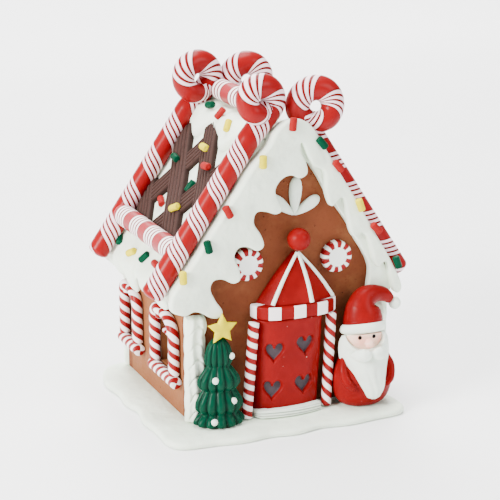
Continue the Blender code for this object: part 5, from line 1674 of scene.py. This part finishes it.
class HOUSE_OT_windows(bpy.types.Operator):
    """Window frames: hooked canes, sill and cross, as striped tubes along their paths"""
    bl_idname = "house.windows"
    bl_label = "Windows"

    def execute(self, context):
        radius = sizes().cane / MM
        repeat = sizes().stripe_cane / MM
        for side, sign in SIDES.items():
            drop = EAVE_SHIFT[side]
            for row, (near, far) in WINDOWS.items():
                name = f"window_{side}_{row}"
                for part, path in zip(("cane", "arch"), cane_paths(near, far, radius)):
                    x = sign * (HALF_WIDTH + radius + GAP)
                    points = np.column_stack([np.full(len(path), x), path + np.array([0, drop])])
                    rings, run = tube(points, radius, 28, (1.0, 0.0, 0.0), (0.2, 0.5))
                    Skin().add(rings, run / repeat).piece(f"candy_{name}_{part}", candy("cane"),
                                                          [f"{name}_{part}"], "candy_stripe")
                x = sign * (HALF_WIDTH + SILL_RADIUS + GAP)
                y = np.linspace(near + 3.0, far - 4.2, 60)
                path = np.stack(np.broadcast_arrays(x, y, SILL_Z + drop), -1)
                rings, run = tube(path, SILL_RADIUS, 28, (1.0, 0.0, 0.0), (0.25, 0.25))
                Skin().add(rings, run / repeat).piece(f"candy_{name}_sill", candy("cane"),
                                                      [name + "_sill"], "candy_stripe")
                self.cross(name, sign, near, far, drop, repeat)
        return {"FINISHED"}

    def cross(self, name, sign, near, far, drop, repeat):
        low, high = far + HOLE_INSET, min(near - HOLE_INSET, HALF_DEPTH - 8.0)
        middle, x = 0.5 * (low + high), sign * (HALF_WIDTH - CROSS_INSET)
        top = HOLE_SPRING + HOLE_RISE * 0.5 * (high - low) + drop
        skin = Skin()
        for path in (np.array([(x, middle, HOLE_FOOT + GAP + drop), (x, middle, top - 1.4)]),
                     np.array([(x, low + 0.6, CROSS_Z + drop), (x, high - 0.6, CROSS_Z + drop)])):
            path = np.linspace(path[0], path[1], 60)
            rings, run = tube(path, CROSS_RADIUS, 20, (1.0, 0.0, 0.0), (0.1, 0.3))
            skin.add(rings, run / repeat)
        skin.piece(f"candy_{name}_cross", candy("cane"), [name + "_cross"], "candy_stripe")


# ---------------------------------------------------------------- sprinkles

# On the slopes: distance down the slope, Y, turn from down the slope towards +Y, lift off the snow
ROOF_SPRINKLES = {
    "green": ((125.5, 40.5, -53, 0.0), (125.2, -3.1, 34, 0.0), (75.4, -5.4, 7, 0.0),
              (65.4, 25.0, -82, 4.0), (27.5, 22.0, 76, 4.2)),
    "yellow": ((127.6, 15.9, 58, 0.0), (90.9, -10.8, 60, 4.0), (51.6, -2.0, -89, 4.0),
               (34.0, -14.0, -33, 4.2)),
    "red": ((124.6, -21.5, -84, 0.0), (92.2, 17.9, -66, 0.0), (60.8, -18.0, 84, 4.2),
            (29.5, 3.5, 17, 4.2)),
}
BARE_RIGHT_TOP = 32.0
# On the front: X, height, turn from +X upwards
GABLE_SPRINKLES = {
    "green": ((-53.4, 111.3, -76), (16.8, 164.6, -50), (67.1, 88.0, -70)),
    "yellow": ((-19.8, 157.0, 90), (-68.6, 95.0, 92), (41.8, 125.6, -70)),
    "red": ((-1.4, 177.0, 85), (-41.2, 130.3, -62), (27.2, 150.2, -50), (52.6, 110.5, -45)),
}


def pill(centre, along, out, half, radius):
    """A short rod with rounded rims lying on a surface, slightly flattened towards it."""
    along, out = unit(np.asarray(along, float)), unit(np.asarray(out, float))
    across = np.cross(along, out)
    profile = fillet(np.array([[(-half, 0.0), (-half, radius), (half, radius), (half, 0.0)]]),
                     [0.0, 0.42 * radius, 0.42 * radius, 0.0], 5)[0][4:16]
    turn = TAU * np.arange(16) / 16
    ring = np.cos(turn)[:, None] * across + 0.92 * np.sin(turn)[:, None] * out
    return (np.asarray(centre) + profile[:, :1, None] * along
            + profile[:, 1:, None] * ring[None])


class HOUSE_OT_sprinkles(bpy.types.Operator):
    """Sprinkles on the slopes and gables, one piece for each colour"""
    bl_idname = "house.sprinkles"
    bl_label = "Sprinkles"

    def execute(self, context):
        half, radius = 0.5 * sizes().sprinkle_length / MM, sizes().sprinkle_radius / MM
        finishes = {"green": "sprinkle_green", "yellow": "yellow", "red": "sprinkle_red"}
        for colour, tint_name in finishes.items():
            skin = Skin()
            for side, sign in SIDES.items():
                down = slope_point(side, 1.0, 0.0) - slope_point(side, 0.0, 0.0)
                out = slope_point(side, 0.0, 1.0) - slope_point(side, 0.0, 0.0)
                for s, y, turn, lift in ROOF_SPRINKLES[colour]:
                    if side == "right" and s < BARE_RIGHT_TOP:
                        continue
                    turn = math.radians(turn)
                    y = y if side == "left" else -y
                    along = math.cos(turn) * down + math.sin(turn) * np.array([0, 1.0, 0])
                    place = slope_point(side, s, -ROOF_DROP + lift + 0.55 * radius, y)
                    skin.add(pill(place, along, out, half, radius))
            for way in (-1.0, 1.0):
                for x, z, turn in GABLE_SPRINKLES[colour]:
                    turn = math.radians(turn)
                    along = (math.cos(turn), 0.0, math.sin(turn))
                    place = (x, way * (SNOW_FRONT[1] + 0.45 * radius), z)
                    skin.add(pill(place, along, (0, way, 0), half, radius))
            skin.piece("sprinkles_" + colour, plain_clay(tint_name))
        return {"FINISHED"}


# ---------------------------------------------------------------- floor, light and camera

CAMERA_PLACE = (-0.3963, -0.9088, 0.3786)
CAMERA_TURN, CAMERA_DROP, CAMERA_LENS = 23.5, 16.4, 122.4


class HOUSE_OT_stage(bpy.types.Operator):
    """Pale floor that sweeps up behind, soft lamps and the camera"""
    bl_idname = "house.stage"
    bl_label = "Stage"

    def execute(self, context):
        self.floor()
        for name, place, size, power, tone in (
                ("key", (-1.4, -0.4, 0.72), 0.7, 66.0, (1.0, 0.985, 0.965)),
                ("side", (0.75, -1.1, 0.8), 0.8, 12.0, (1.0, 1.0, 1.0)),
                ("top", (0.0, 0.1, 1.6), 1.1, 58.0, (1.0, 1.0, 1.0)),
                ("back", (0.7, 2.3, 1.9), 1.8, 230.0, (1.0, 1.0, 1.0))):
            self.lamp(name, place, size, power, tone)
        world = context.scene.world or bpy.data.worlds.new("studio")
        context.scene.world = world
        world.use_nodes = True
        world.node_tree.nodes["Background"].inputs["Color"].default_value = (1.0, 1.0, 1.0, 1.0)
        world.node_tree.nodes["Background"].inputs["Strength"].default_value = 0.4
        self.camera(context)
        return {"FINISHED"}

    def floor(self):
        """A level sheet that curves up into a wall far behind the house."""
        y = np.linspace(-2.5, 2.2, 60)
        rise = np.where(y > 1.2, 0.9 * ((y - 1.2) / 1.0) ** 2, 0.0)
        x = np.linspace(-3.0, 3.0, 40)
        points = np.stack(np.broadcast_arrays(x[None], y[:, None], rise[:, None] - 0.0002), -1)
        r, c = np.meshgrid(np.arange(59), np.arange(39), indexing="ij")
        k = (r * 40 + c).ravel()
        quads = np.stack([k, k + 1, k + 41, k + 40], 1)
        mesh = bpy.data.meshes.new("floor")
        mesh.from_pydata(points.reshape(-1, 3).tolist(), [], quads.tolist())
        mesh.shade_smooth()
        made = Finish("floor", 0.7)
        ground = shade("ground")
        made.paint(made.mix(scaled(ground, 0.985), ground, made.cloud(0.5).ramp(0.4, 0.6)))
        mesh.materials.append(made.done())
        floor = bpy.data.objects.new("floor", mesh)
        bpy.context.scene.collection.objects.link(floor)
        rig.stage(floor)

    def lamp(self, name, place, size, power, tone):
        data = bpy.data.lights.new(name, "AREA")
        data.shape, data.size, data.energy, data.color = "DISK", size, power, tone
        made = bpy.data.objects.new(name, data)
        made.location = place
        target = (0.9, 2.2, 0.0) if name == "back" else (-0.005, -0.01, 0.09)
        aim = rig.Vector(target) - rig.Vector(place)
        made.rotation_euler = aim.to_track_quat("-Z", "Y").to_euler()
        bpy.context.scene.collection.objects.link(made)
        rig.stage(made)

    def camera(self, context):
        data = bpy.data.cameras.new("view")
        data.sensor_width, data.lens = 36.0, CAMERA_LENS
        made = bpy.data.objects.new("view", data)
        made.location = CAMERA_PLACE
        made.rotation_euler = (math.radians(90.0 - CAMERA_DROP), 0.0, -math.radians(CAMERA_TURN))
        context.scene.collection.objects.link(made)
        context.scene.camera = made


# ---------------------------------------------------------------- panel and registration

STEPS = (HOUSE_OT_base, HOUSE_OT_walls, HOUSE_OT_corner_icing, HOUSE_OT_roof, HOUSE_OT_ridge,
         HOUSE_OT_gable_icing, HOUSE_OT_rails, HOUSE_OT_rolls, HOUSE_OT_lattice, HOUSE_OT_mints,
         HOUSE_OT_petals, HOUSE_OT_door, HOUSE_OT_door_trim, HOUSE_OT_door_roof, HOUSE_OT_tree,
         HOUSE_OT_santa, HOUSE_OT_windows, HOUSE_OT_sprinkles, HOUSE_OT_stage)


class HOUSE_PT_panel(bpy.types.Panel):
    """Sizes, colours and steps of the gingerbread house"""
    bl_idname = "HOUSE_PT_panel"
    bl_label = "Gingerbread house"
    bl_space_type = "VIEW_3D"
    bl_region_type = "UI"
    bl_category = "Gingerbread"

    def draw(self, context):
        for group in (context.scene.house_sizes, context.scene.house_colours):
            box = self.layout.box()
            for name in type(group).__annotations__:
                box.prop(group, name)
        for step in STEPS:
            self.layout.operator(step.bl_idname)


CLASSES = (HouseColours, HouseSizes, *STEPS, HOUSE_PT_panel)


def register():
    for one in CLASSES:
        bpy.utils.register_class(one)
    bpy.types.Scene.house_colours = bpy.props.PointerProperty(type=HouseColours)
    bpy.types.Scene.house_sizes = bpy.props.PointerProperty(type=HouseSizes)


def unregister():
    del bpy.types.Scene.house_sizes
    del bpy.types.Scene.house_colours
    for one in reversed(CLASSES):
        bpy.utils.unregister_class(one)


def main():
    """Registers the classes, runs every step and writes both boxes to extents.json."""
    register()
    for step in STEPS:
        group, name = step.bl_idname.split(".")
        getattr(getattr(bpy.ops, group), name)()
    boxes = {"cad": CAD_BOX, "visual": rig.bounds()}
    with open("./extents.json", "w") as out:
        json.dump({name: [list(low), list(high)] for name, (low, high) in boxes.items()}, out)


if __name__ == "__main__":
    main()
